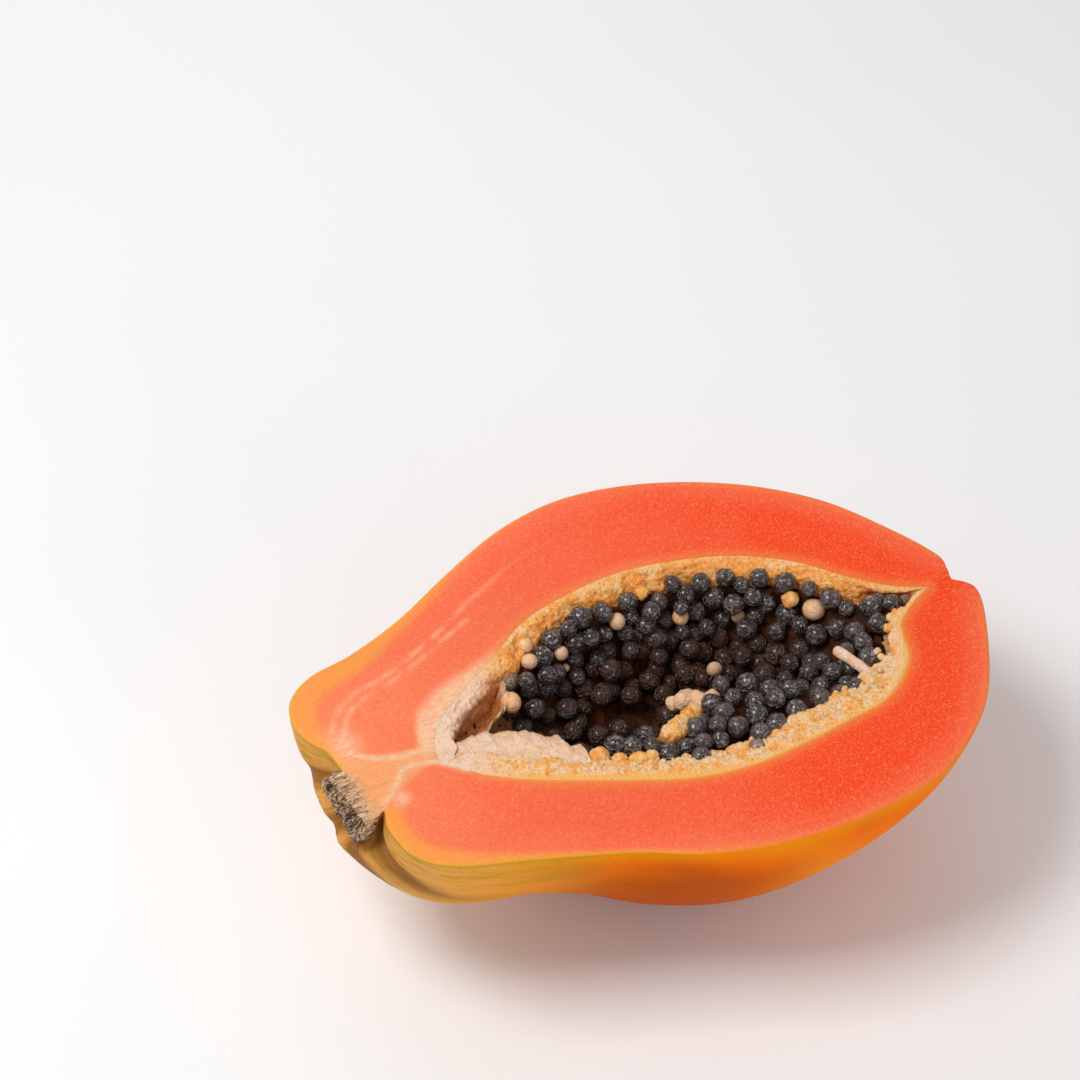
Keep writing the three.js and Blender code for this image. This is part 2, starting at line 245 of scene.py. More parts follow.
SKIN = Outline(
    near=(
        (0.5, 0), (2.6, 6.6), (1.5, 12), (2, 17), (3.6, 22.4), (8.2, 27.8), (16, 31.9), (28, 35.7), (42, 40.4),
        (56, 45.6), (70, 52.4), (86, 56.9), (102, 58.8), (119, 58.3), (134, 55.4), (148, 47.4), (159, 36),
        (168.6, 17.5), (172, 5.6), (167.2, 0),
    ),
    under=(
        (0.5, 0), (1.6, 7.5), (-3.2, 11.2), (-8.8, 13), (-7.2, 18.2), (-2.6, 26.2), (3.4, 34), (10, 38.6),
        (25.5, 39), (40.6, 45.2), (56.4, 55.2), (73, 62.7), (91.5, 62.7), (112.5, 54.4), (129.6, 37.8),
        (145.3, 21.4), (157, 12.6), (165.4, 5.4), (168.4, 2.2), (167.2, 0),
    ),
    far=(
        (0.5, 0), (-1.8, 7), (-3.2, 15), (-6.6, 21), (-8, 27.5), (-5.6, 34.6), (2, 39.7), (14, 42), (30, 47.6),
        (48, 56.8), (66, 64.6), (84, 67.7), (102, 65.3), (120, 58.8), (136, 49.6), (150, 37.4), (161, 22),
        (168, 9.5), (168.2, 3.5), (167.2, 0),
    ),
)
CAVITY = Outline(
    near=(
        (21, 0), (25.4, 3.4), (31, 8.4), (41, 14.4), (52, 19.6), (64, 25), (77, 30.2), (91, 32.8), (106, 32.4),
        (121, 30.4), (134, 28), (144.6, 19.4), (149, 7.4), (160.3, 0),
    ),
    under=(
        (21, 0), (24, 5.6), (31, 12), (41, 18), (52, 23.6), (64, 28.6), (77, 32.6), (91, 34), (104, 32),
        (117, 26.4), (129, 18.6), (139.5, 11), (149, 5.4), (160.3, 0),
    ),
    far=(
        (21, 0), (22.5, 7), (27, 13), (36, 19.4), (47, 25.6), (59, 33.2), (73, 36.8), (88, 38), (103, 35.8),
        (118, 31), (132, 22.6), (143, 11.8), (151.5, 4.6), (160.3, 0),
    ),
)


@dataclass(frozen=True)
class Hollow:
    """The seed cavity and the layers inside its wall.

    lip_near and lip_far are rows of degrees below the rim and the lining's thickness there. heap is rows of
    x and how far in the pile of seeds reaches.
    """

    middle: float = 90.65
    half: float = 69.65
    widest: float = 0.55
    lip_near: tuple = ((0, 1), (2.5, 5.8), (6, 8.8), (10, 8.6), (17, 6), (27, 4), (40, 3), (90, 2.8))
    lip_far: tuple = ((0, 1), (3, 3), (8, 4.4), (14, 4.6), (22, 4), (32, 3.2), (45, 2.8), (90, 2.8))
    heap: tuple = (
        (21, 8), (48, 9.6), (60, 14.5), (75, 16.5), (87, 18.5), (96, 22), (105, 24), (114, 22.5), (122, 18.5),
        (132, 13.5), (142, 10.5), (160.3, 8),
    )
    bed: float = 3.0

    def inside(self, inset: Array | float, along: Array, angle: Array) -> Array:
        """Return the points that lie in from the cavity wall.

        x moves to middle + (x - middle) * (1 - inset / half). The distance r from the axis shrinks to r *
        (1 - inset / g), where g is the wall's distance from the axis at the widest place and the same
        angle.

        Args:
            inset: how far in, in mm.
            along: places along the axis.
            angle: degrees round the axis.

        Returns:
            The points, in mm.
        """
        points = CAVITY.points(along, angle)
        shrink = 1 - inset / girth(CAVITY.points(np.full(points.shape[:-1], self.widest), angle))
        x = self.middle + (points[..., 0] - self.middle) * (1 - inset / self.half)
        return np.stack([x, points[..., 1] * shrink, points[..., 2] * shrink], axis=-1)

    def lining(self, angle: Array) -> Array:
        """Return the lining's thickness, the near table's eased into the far table's round the bottom."""
        below = np.minimum(angle, 180 - angle)
        near, far = (np.interp(below, *zip(*table)) for table in (self.lip_near, self.lip_far))
        return blend(near, far, ease(angle, 45, 135))

    def seed_bed(self, x: Array, angle: Array) -> Array:
        """Return how far in the seeds reach: the lining plus a bed, or the pile's reach on the near side."""
        floor = self.lining(angle) + self.bed * ease(x, 42, 52)
        heaped = 1 - ease(angle, 34, 72)
        return np.maximum(floor, blend(floor, np.interp(x, *zip(*self.heap)), heaped))


HOLLOW = Hollow()


# Meshes


@dataclass
class Piece:
    """Points and faces of one piece, gathered from grids that share their edges."""

    name: str
    grids: list[Array] = field(default_factory=list)
    quads: list[Array] = field(default_factory=list)
    zones: list[Array] = field(default_factory=list)
    count: int = 0

    def add(self, grid: Array) -> Array:
        """Add a grid of points.

        Args:
            grid: points, in mm, of shape (..., 3).

        Returns:
            Their numbers, of the grid's shape.
        """
        shape = grid.shape[:-1]
        numbers = self.count + np.arange(int(np.prod(shape))).reshape(shape)
        self.grids.append(grid.reshape(-1, 3))
        self.count += numbers.size
        return numbers

    def skin_over(self, numbers: Array, zone: int = 0, flip: bool = False, closed: bool = False) -> None:
        """Cover a grid of numbers with faces.

        Args:
            numbers: point numbers of shape (rows, columns). A face runs from (i, j) to (i, j + 1),
                (i + 1, j + 1) and (i + 1, j).
            zone: the material slot of the faces.
            flip: turns the faces round.
            closed: joins the last column to the first.
        """
        if closed:
            numbers = np.concatenate([numbers, numbers[:, :1]], axis=1)
        a, b, c, d = numbers[:-1, :-1], numbers[:-1, 1:], numbers[1:, 1:], numbers[1:, :-1]
        faces = np.stack([a, d, c, b] if flip else [a, b, c, d], axis=-1).reshape(-1, 4)
        self.quads.append(faces)
        self.zones.append(np.full(len(faces), zone))

    def cover_ball(self, grid: Array) -> None:
        """Add a closed ball from a grid of points, (pole to pole, round it)."""
        numbers = self.add(grid)
        numbers[0], numbers[-1] = numbers[0, 0], numbers[-1, 0]
        self.skin_over(numbers, flip=True, closed=True)

    def join_edges(self, first: Array, second: Array, zone: int = 0) -> None:
        """Close the gap between the edges of two grids of numbers."""
        loops = [np.concatenate([n[:-1, 0], n[-1, :-1], n[:0:-1, -1], n[0, :0:-1]]) for n in (first, second)]
        self.skin_over(np.stack(loops), zone, closed=True)

    def points(self) -> Array:
        """Return all points, in mm."""
        return np.concatenate(self.grids)

    def build(
        self, part: "Part", materials: list[bpy.types.Material], marks: dict[str, Array], crease: float = 180.0
    ) -> bpy.types.Object:
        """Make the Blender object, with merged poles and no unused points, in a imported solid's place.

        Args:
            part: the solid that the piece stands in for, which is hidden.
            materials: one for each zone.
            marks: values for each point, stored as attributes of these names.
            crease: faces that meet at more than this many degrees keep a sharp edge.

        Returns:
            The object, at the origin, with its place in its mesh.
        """
        quads, zones = np.concatenate(self.quads), np.concatenate(self.zones)
        used, inverse = np.unique(quads, return_inverse=True)
        quads = inverse.reshape(quads.shape)
        faces, kept = [], []
        for face, zone in zip(quads.tolist(), zones.tolist()):
            slim = list(dict.fromkeys(face))
            if len(slim) > 2:
                faces.append(slim)
                kept.append(zone)
        mesh = bpy.data.meshes.new(self.name)
        mesh.from_pydata(GROUND.held(self.points()[used]).tolist(), [], faces)
        mesh.polygons.foreach_set("material_index", kept)
        mesh.polygons.foreach_set("use_smooth", [True] * len(faces))
        for name, values in marks.items():
            values = np.asarray(values, float)[used]
            kind, key = ("FLOAT_VECTOR", "vector") if values.ndim > 1 else ("FLOAT", "value")
            mesh.attributes.new(name, kind, "POINT").data.foreach_set(key, values.ravel())
        for material in materials:
            mesh.materials.append(material)
        mesh.validate()
        mesh.update()
        if crease < 180:
            mesh.set_sharp_from_angle(angle=np.radians(crease))
        made = bpy.data.objects.new(self.name, mesh)
        bpy.context.collection.objects.link(made)
        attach(made, "root")
        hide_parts(part.value)
        LOG.info("%s: %d points, %d faces", made.name, len(mesh.vertices), len(mesh.polygons))
        return made


def facing(grid: Array, towards: tuple[float, float, float]) -> Array:
    """Return a grid's unit normals, the cross products of its two directions turned towards a point."""
    normal = np.cross(np.gradient(grid, axis=0), np.gradient(grid, axis=1))
    normal = normal * np.sign(np.sum(normal * (np.array(towards) - grid)))
    return normal / np.maximum(np.linalg.norm(normal, axis=-1, keepdims=True), 1e-9)


def rim_loop(grid: Array) -> Array:
    """Return a bowl grid's rim as one loop: the near side from stem to blossom, then the far side back."""
    return np.concatenate([grid[:, 0], grid[-2:0:-1, -1]])


def make_bowl(
    piece: Piece, outer: Array, rings: list[Array], inner: Array, zones: tuple[int, int, int]
) -> dict[str, Array]:
    """Close a bowl from its outer surface, the rings across its rim and its inner surface.

    Args:
        piece: the piece that gets the points and faces.
        outer: grid of the outer surface, (along, angle), whose first and last rows are single points.
        rings: loops across the rim, from the outer surface's to the inner one's.
        inner: grid of the inner surface, laid out the same way with the same rows.
        zones: material slots of the outer surface, the rim and the inner surface.

    Returns:
        The point numbers of each part, by the names outer, rings and inner.
    """
    numbers = {"outer": piece.add(outer), "inner": piece.add(inner)}
    for part in numbers.values():
        part[0], part[-1] = part[0, 0], part[-1, 0]
    numbers["rings"] = piece.add(np.stack(rings)) if rings else np.zeros((0, 2 * len(outer) - 2), int)
    piece.skin_over(numbers["outer"], zones[0])
    piece.skin_over(numbers["inner"], zones[2], flip=True)
    across = np.concatenate([[rim_loop(numbers["outer"])], numbers["rings"], [rim_loop(numbers["inner"])]])
    piece.skin_over(across, zones[1], closed=True)
    return numbers


# Shaders


class Value:
    """A socket that Python's operators work on. Each operation adds a Math node."""

    def __init__(self, graph: "Graph", socket: bpy.types.NodeSocket) -> None:
        """Wrap a socket of a graph."""
        self.graph = graph
        self.socket = socket

    def _math(self, operation: str, *others: Any, clamp: bool = False) -> "Value":
        """Add a Math node with this value first."""
        inputs = dict(enumerate((self, *others)))
        return self.graph.node("ShaderNodeMath", {"operation": operation, "use_clamp": clamp}, inputs)

    def __add__(self, other: Any) -> "Value":
        """Return self + other."""
        return self._math("ADD", other)

    __radd__ = __add__

    def __sub__(self, other: Any) -> "Value":
        """Return self - other."""
        return self._math("SUBTRACT", other)

    def __rsub__(self, other: Any) -> "Value":
        """Return other - self."""
        return (self * -1) + other

    def __mul__(self, other: Any) -> "Value":
        """Return self * other."""
        return self._math("MULTIPLY", other)

    __rmul__ = __mul__

    def sine(self) -> "Value":
        """Return the sine of self."""
        return self._math("SINE")

    def limited(self) -> "Value":
        """Return self held between 0 and 1."""
        return self._math("ADD", 0.0, clamp=True)

    def rise(self, start: float, end: float, low: float = 0.0, high: float = 1.0) -> "Value":
        """Return low below start, high above end, and a smooth step between them."""
        settings = {"interpolation_type": "SMOOTHSTEP"}
        return self.graph.node("ShaderNodeMapRange", settings, {0: self, 1: start, 2: end, 3: low, 4: high})


class Graph:
    """One material's nodes."""

    def __init__(self, name: str) -> None:
        """Start an empty material."""
        self.material = bpy.data.materials.new(name)
        self.material.use_nodes = True
        self.tree = self.material.node_tree
        self.tree.nodes.clear()

    def node(
        self, kind: str, settings: dict[str, Any] | None = None, inputs: dict | None = None, out: Any = 0
    ) -> Value:
        """Add a node.

        Args:
            kind: the node's type.
            settings: its properties, set first. For a ramp, "stops" is a list of (place, colour).
            inputs: values or links of its sockets, by name or number.
            out: the output that is wanted, by name or number.

        Returns:
            The output.
        """
        made = self.tree.nodes.new(kind)
        for name, value in (settings or {}).items():
            if name == "stops":
                stops = made.color_ramp.elements
                while len(stops) < len(value):
                    stops.new(0.5)
                for stop, (place, colour) in zip(stops, value):
                    stop.position, stop.color = place, (*colour, 1)
            else:
                setattr(made, name, value)
        for name, value in (inputs or {}).items():
            socket = made.inputs[name]
            if isinstance(value, Value):
                self.tree.links.new(value.socket, socket)
            elif isinstance(value, tuple) and len(value) == 3 and socket.type == "RGBA":
                socket.default_value = (*value, 1)
            else:
                socket.default_value = value
        return Value(self, made.outputs[out])

    def mark(self, name: str, vector: bool = False) -> Value:
        """Return a point attribute, as a number or as a vector."""
        return self.node("ShaderNodeAttribute", {"attribute_name": name}, out="Vector" if vector else "Fac")

    def scaled(self, vector: Value, scale: Colour) -> Value:
        """Return a vector with its parts scaled."""
        return self.node("ShaderNodeMapping", {}, {"Vector": vector, "Scale": scale})

    def spot(self, scale: Colour = (1, 1, 1)) -> Value:
        """Return the place on the object, in metres times scale."""
        return self.scaled(self.node("ShaderNodeTexCoord", out="Object"), scale)

    def grain(
        self, where: Value, scale: float, detail: float = 3.0, rough: float = 0.5, bend: float = 0.0
    ) -> Value:
        """Return a noise texture's value at a place."""
        inputs = {"Vector": where, "Scale": scale, "Detail": detail, "Roughness": rough, "Distortion": bend}
        return self.node("ShaderNodeTexNoise", {}, inputs)

    def cells(self, where: Value, scale: float) -> Value:
        """Return a place's distance from the nearest centre of a Voronoi texture."""
        return self.node("ShaderNodeTexVoronoi", {}, {"Vector": where, "Scale": scale}, "Distance")

    def mix(self, share: Any, first: Any, second: Any) -> Value:
        """Return a colour between two colours."""
        return self.node("ShaderNodeMix", {"data_type": "RGBA"}, {0: share, 6: first, 7: second}, 2)

    def tint(self, value: Value, *stops: tuple[float, Colour]) -> Value:
        """Return a colour ramp's colour."""
        return self.node("ShaderNodeValToRGB", {"stops": list(stops)}, {0: value})

    def bump(self, height: Value, distance: float, strength: float = 1.0, after: Value | None = None) -> Value:
        """Return a normal that is bumped by a height, with distance in metres for a height of 1."""
        inputs: dict[str, Any] = {"Height": height, "Distance": distance, "Strength": strength}
        if after is not None:
            inputs["Normal"] = after
        return self.node("ShaderNodeBump", {}, inputs)

    def finish(self, **inputs: Any) -> bpy.types.Material:
        """Add the surface shader, with its sockets named in small letters and underscores.

        Returns:
            The finished material.
        """
        named = {key.replace("_", " ").title().replace("Ior", "IOR"): value for key, value in inputs.items()}
        surface = self.node("ShaderNodeBsdfPrincipled", {}, named)
        self.node_output(surface)
        return self.material

    def node_output(self, surface: Value) -> None:
        """Join a shader to the material's output."""
        output = self.tree.nodes.new("ShaderNodeOutputMaterial")
        self.tree.links.new(surface.socket, output.inputs["Surface"])


# Finishes


@dataclass(frozen=True)
class FleshFinish:
    """Wet ripe flesh, salmon at the stem end and red-orange at the blossom end, yellow under the skin."""

    salmon: Colour = (0.96, 0.21, 0.088)
    coral: Colour = (0.95, 0.118, 0.045)
    scarlet: Colour = (0.97, 0.056, 0.002)
    soft: Colour = (0.97, 0.17, 0.08)
    amber: Colour = (0.95, 0.36, 0.05)
    yellow: Colour = (0.8, 0.4, 0.02)
    peach: Colour = (0.95, 0.4, 0.15)
    cream: Colour = (0.96, 0.62, 0.38)
    fleck: Colour = (0.99, 0.4, 0.17)
    glow: Colour = (0.96, 0.27, 0.05)
    blood: Colour = (0.7, 0.035, 0.008)
    # painted shade colour for the cavity wall under the lining
    depth: Colour = (0.3, 0.012, 0.002)

    def make(self) -> bpy.types.Material:
        """Return the material."""
        g = Graph("flesh")
        where, thread = g.spot(), g.mark("thread", True)
        along, under_skin, from_rim = g.mark("x_mm"), g.mark("skin_mm"), g.mark("rim_mm")
        broad = g.grain(where, 40, 3) - 0.5
        bands = g.grain(g.scaled(thread, (0.03, 0.9, 1)), 1.0, 3) - 0.5
        fibres = g.grain(g.scaled(thread, (2.8, 1.3, 1)), 1.0, 4, 0.62, 0.8)
        specks = g.grain(where, 1500, 3, 0.6)
        ripe = (along * 0.0079 + broad * 0.45 + bands * 0.25 + g.mark("near") * 0.14 - 0.06).limited()
        colour = g.tint(ripe, (0.0, self.salmon), (0.48, self.coral), (0.95, self.scarlet))
        pale = (1 - (under_skin + broad * 6).rise(1.5, 10)) * 0.5
        colour = g.mix(pale, colour, self.soft)
        amber = 1 - (under_skin + broad * 2.5 + bands * 2.0 - g.mark("edge_mm")).rise(-1.6, 2.4)
        edge = g.mix(along.rise(25, 85), self.amber, self.glow)
        colour = g.mix(amber * 0.8, colour, edge)
        vein = g.mark("vein") * g.grain(where, 160, 3).rise(0.3, 0.65)
        colour = g.mix(vein * 0.5, colour, self.cream)
        colour = g.mix((1 - from_rim.rise(0.2, 4.0)) * 0.5, colour, self.glow)
        colour = g.mix((1 - from_rim.rise(0.0, 1.1)) * g.mark("near") * 0.7, colour, self.amber)
        threads = g.grain(g.spot((1, 2.6, 1)), 420, 5, 0.7, 0.6)
        colour = g.mix(g.mark("core") * threads.rise(0.25, 0.6, 0.6, 1.0), colour, self.peach)
        colour = g.mix(g.mark("strand") * threads.rise(0.36, 0.6, 0.5, 1.0), colour, self.cream)
        colour = g.mix(fibres.rise(0.5, 0.7) * 0.42, colour, self.fleck)
        colour = g.mix(fibres.rise(0.47, 0.3) * 0.3, colour, self.blood)
        colour = g.mix(specks.rise(0.54, 0.7) * 0.35, colour, self.fleck)
        line = (1 - under_skin.rise(0.2, 0.8)) * (1 - along.rise(30, 100))
        colour = g.mix(line * 0.7, colour, self.yellow)
        # painted shade: the cavity wall turns dark red below the cut
        colour = g.mix(g.mark("inside"), colour, self.depth)
        stringy = threads * (g.mark("core") + g.mark("strand"))
        normal = g.bump(fibres + specks * 0.6 + stringy * 1.5, 0.0003, 0.7)
        normal = g.bump(g.grain(where, 120, 3), 0.0006, 0.3, normal)
        return g.finish(
            base_color=colour, roughness=specks.rise(0.3, 0.7, 0.28, 0.46), normal=normal,
            specular_ior_level=0.2, subsurface_weight=0.2, subsurface_radius=(1.0, 0.24, 0.08),
            subsurface_scale=0.003,
        )


@dataclass(frozen=True)
class RindFinish:
    """Smooth skin, orange with yellow and green, and brown where it folds into the stem hollow: painted shade.
    """

    orange: Colour = (0.97, 0.17, 0.0)
    # darker orange for random tone, also the colour of the painted shade below
    deep: Colour = (0.5, 0.078, 0.0)
    yellow: Colour = (0.97, 0.31, 0.002)
    olive: Colour = (0.86, 0.37, 0.003)
    green: Colour = (0.34, 0.32, 0.002)
    tan: Colour = (0.98, 0.5, 0.15)
    # brown for the real spots, also the colour of the painted shade in the folds
    brown: Colour = (0.2, 0.065, 0.012)

    def make(self) -> bpy.types.Material:
        """Return the material."""
        g = Graph("rind")
        where = g.spot()
        along, drop, fold = g.mark("x_mm"), g.mark("drop"), g.mark("fold")
        broad = g.grain(where, 22, 3)
        streaks = g.grain(g.mark("stripe", True), 1.0, 4, 0.6)
        colour = g.tint(broad, (0.32, self.deep), (0.52, self.orange), (0.74, self.yellow))
        # painted shade: the skin darkens towards the bottom and in the waist hollow
        colour = g.mix(drop.rise(0.45, 1.0) * 0.5, colour, self.deep)
        waist_shade = along.rise(24, 50) * (1 - along.rise(74, 112)) * drop.rise(0.08, 0.34)
        colour = g.mix(waist_shade * 0.9, colour, self.deep)
        # painted light: the skin turns yellower near the cut edge
        colour = g.mix((1 - drop.rise(0.0, 0.13)) * 0.75, colour, self.yellow)
        stem = 1 - (along + broad * 40 - 20).rise(6, 62)
        colour = g.mix(stem * 0.8, colour, self.olive)
        colour = g.mix(stem * streaks.rise(0.5, 0.7) * 0.4, colour, self.green)
        foot = g.mark("foot")
        colour = g.mix(foot * streaks.rise(0.7, 0.35, 0.4, 0.95), colour, self.tan)
        colour = g.mix(foot * streaks.rise(0.52, 0.64) * 0.4, colour, self.green)
        # painted shade: brown in the furrows, deepest at the stem foot
        colour = g.mix((foot * fold * 1.1 + foot * foot * foot * 0.3).limited() * 0.8, colour, self.brown)
        colour = g.mix((1 - drop.rise(0.0, 0.035)) * (1 - along.rise(20, 90)) * 0.6, colour, self.green)
        spots = g.cells(where, 620).rise(0.24, 0.1) * g.grain(where, 120, 2).rise(0.5, 0.7)
        colour = g.mix(spots * 0.4, colour, self.brown)
        freckles = g.grain(where, 900, 3, 0.6)
        colour = g.mix(freckles.rise(0.58, 0.75) * 0.25, colour, self.yellow)
        normal = g.bump(freckles, 0.00012, 0.5)
        normal = g.bump(streaks * (foot + 0.1), 0.0009, 0.7, normal)
        return g.finish(
            base_color=colour, roughness=g.grain(where, 90, 3).rise(0.2, 0.8, 0.36, 0.52), normal=normal,
            specular_ior_level=0.02, subsurface_weight=0.05, subsurface_radius=(1.0, 0.4, 0.1),
            subsurface_scale=0.002,
        )


@dataclass(frozen=True)
class LiningFinish:
    """Moist spongy tissue: a smooth yellow lip, orange and cream grains, and pale membrane at the stem end."""

    lip: Colour = (0.97, 0.47, 0.11)
    orange: Colour = (0.96, 0.35, 0.045)
    cream: Colour = (0.95, 0.58, 0.3)
    membrane: Colour = (0.9, 0.61, 0.43)
    flaxen: Colour = (0.84, 0.5, 0.29)
    painted_glint: Colour = (0.97, 0.78, 0.6)
    # painted shade colour between the grains
    pit: Colour = (0.5, 0.13, 0.015)
    shadow: Colour = (0.45, 0.125, 0.008)
    dark: Colour = (0.028, 0.008, 0.003)
    red: Colour = (0.42, 0.018, 0.001)

    def make(self) -> bpy.types.Material:
        """Return the material."""
        g = Graph("lining")
        where = g.spot()
        patch = g.grain(where, 240, 3, 0.6) + 0.04 - g.mark("warm") * 0.14
        fine = g.grain(where, 1100, 4, 0.7)
        pit = g.mark("pit")
        colour = g.tint(patch, (0.4, self.orange), (0.49, self.lip), (0.57, self.cream))
        sheet = g.mix(patch.rise(0.42, 0.7), self.membrane, self.flaxen)
        colour = g.mix(g.mark("pale"), colour, sheet)
        # painted shade: darker between the grains and in the dips of the fine bumps
        colour = g.mix(pit.rise(0.35, 0.95) * (0.8 - g.mark("pale") * 0.45), colour, self.pit)
        # painted highlight: pale glints on the tops of the fine grains
        colour = g.mix(fine.rise(0.52, 0.68) * 0.5, colour, self.painted_glint)
        colour = g.mix(fine.rise(0.48, 0.36) * (0.5 - g.mark("pale") * 0.38), colour, self.pit)
        ridges = (g.mark("rim_mm") * 5.5).sine().rise(-0.4, 0.8)
        colour = g.mix(g.mark("curl") * ridges * 0.8, colour, self.cream)
        colour = g.mix(g.mark("lip"), colour, self.lip)
        colour = g.mix(g.mark("shade"), colour, self.shadow)
        # painted shade: near black deep in the cavity
        colour = g.mix(g.mark("dark"), colour, self.dark)
        # painted shade: dark red deep in the narrow slot at the blossom end
        colour = g.mix(g.mark("slot"), colour, self.red)
        normal = g.bump(g.cells(where, 1500) * -1 + fine * 1.6, 0.0004, 0.7)
        return g.finish(
            base_color=colour, roughness=fine.rise(0.3, 0.7, 0.22, 0.5), normal=normal,
            specular_ior_level=0.5, subsurface_weight=0.2, subsurface_radius=(1.0, 0.45, 0.2),
            subsurface_scale=0.0015,
        )


@dataclass(frozen=True)
class SeedFinish:
    """Dark wrinkled seeds under a clear wet coat with painted sheen and painted shade, and a few pale unripe
    ones.
    """

    black: Colour = (0.026, 0.01, 0.006)
    painted_sheen: Colour = (0.38, 0.31, 0.31)
    brown: Colour = (0.075, 0.022, 0.008)
    pale: Colour = (0.76, 0.43, 0.23)
    straw: Colour = (0.86, 0.39, 0.11)
    bright: Colour = (0.95, 0.76, 0.56)

    def make(self) -> bpy.types.Material:
        """Return the material."""
        g = Graph("seeds")
        own = g.mark("own", True)
        tone, pale, deep = (g.mark(name) for name in ("tone", "pale", "deep"))
        cloud = g.grain(own, 1.15, 2, 0.5, 2.4)
        fold = g.grain(own, 2.3, 2, 0.5, 1.6)
        # painted highlight: grey sheen patches on the wet coat, fewer on the deeper seeds
        light = cloud.rise(0.52, 0.68) * 0.8 + fold.rise(0.55, 0.66) * 0.6 + tone * 0.16 - 0.08
        light = light.limited() * (1 - deep * 0.75)
        colour = g.mix(light, self.black, self.painted_sheen)
        # painted shade: the deeper seeds turn brown; others are brown by their random tone
        colour = g.mix((deep * 0.7 + tone.rise(0.72, 1.0) * 0.5).limited(), colour, self.brown)
        soft = g.mix(g.mark("straw"), self.pale, self.straw)
        soft = g.mix(cloud.rise(0.4, 0.65) * 0.4, soft, self.bright)
        colour = g.mix(pale, colour, soft)
        normal = g.bump((cloud * 1.2 + fold * 0.7) * (1 - pale * 0.85), 0.0016, 1.0)
        return g.finish(
            base_color=colour, roughness=pale * 0.38 + 0.15, normal=normal, specular_ior_level=0.7,
            coat_weight=((1 - pale * 0.9 - deep * 0.6) * 0.8).limited(), coat_roughness=0.08,
        )


@dataclass(frozen=True)
class ShadeBedFinish:
    """A dark brown bed between the seeds, which paints the shade between them."""

    dark: Colour = (0.02, 0.005, 0.001)
    brown: Colour = (0.09, 0.022, 0.004)

    def make(self) -> bpy.types.Material:
        """Return the material."""
        g = Graph("seed_bed")
        lumps = g.grain(g.spot(), 420, 4, 0.6)
        colour = g.mix(lumps.rise(0.35, 0.7), self.dark, self.brown)
        return g.finish(
            base_color=colour, roughness=lumps.rise(0.3, 0.7, 0.5, 0.7), normal=g.bump(lumps, 0.0012, 0.9),
            specular_ior_level=0.12,
        )


@dataclass(frozen=True)
class StalkFinish:
    """Torn fibres of a dried stalk: peach at the root, then beige, with dark bark and a whitish crust."""

    peach: Colour = (0.94, 0.42, 0.17)
    beige: Colour = (0.7, 0.4, 0.22)
    fibre: Colour = (0.86, 0.64, 0.44)
    brown: Colour = (0.17, 0.075, 0.03)
    bark: Colour = (0.03, 0.014, 0.008)
    crust: Colour = (0.5, 0.38, 0.31)

    def make(self) -> bpy.types.Material:
        """Return the material."""
        g = Graph("stalk")
        threads = g.grain(g.spot((0.55, 2.0, 2.0)), 620, 5, 0.7, 0.9)
        broad = g.grain(g.spot(), 330, 3, 0.6)
        colour = g.tint(threads, (0.36, self.brown), (0.5, self.beige), (0.62, self.fibre))
        split = g.grain(g.spot((0.5, 1.9, 0.5)), 520, 5, 0.7, 1.4)
        root = g.mark("root")
        colour = g.mix(root * threads.rise(0.3, 0.5, 0.75, 1.0), colour, self.peach)
        dark = (g.mark("out") + broad * 0.8 - 0.5).limited() * threads.rise(0.58, 0.42) * 0.8
        colour = g.mix(dark, colour, self.brown)
        # dark bark on the torn end; on the side and underside it is real bark darkened as painted shade
        colour = g.mix(g.mark("torn") * split.rise(0.54, 0.41), colour, self.bark)
        colour = g.mix(g.mark("crust") * split.rise(0.5, 0.58) * 0.8, colour, self.crust)
        normal = g.bump(threads + broad + split * g.mark("torn"), 0.0007, 0.9)
        return g.finish(
            base_color=colour, roughness=root.rise(0.0, 1.0, 0.8, 0.45), normal=normal, specular_ior_level=0.3
        )


# Sub-assemblies


class Part(Enum):
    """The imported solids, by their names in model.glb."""

    FLESH = "flesh"
    LINING = "lining"
    SEEDS = "seeds"
    STALK = "stalk"


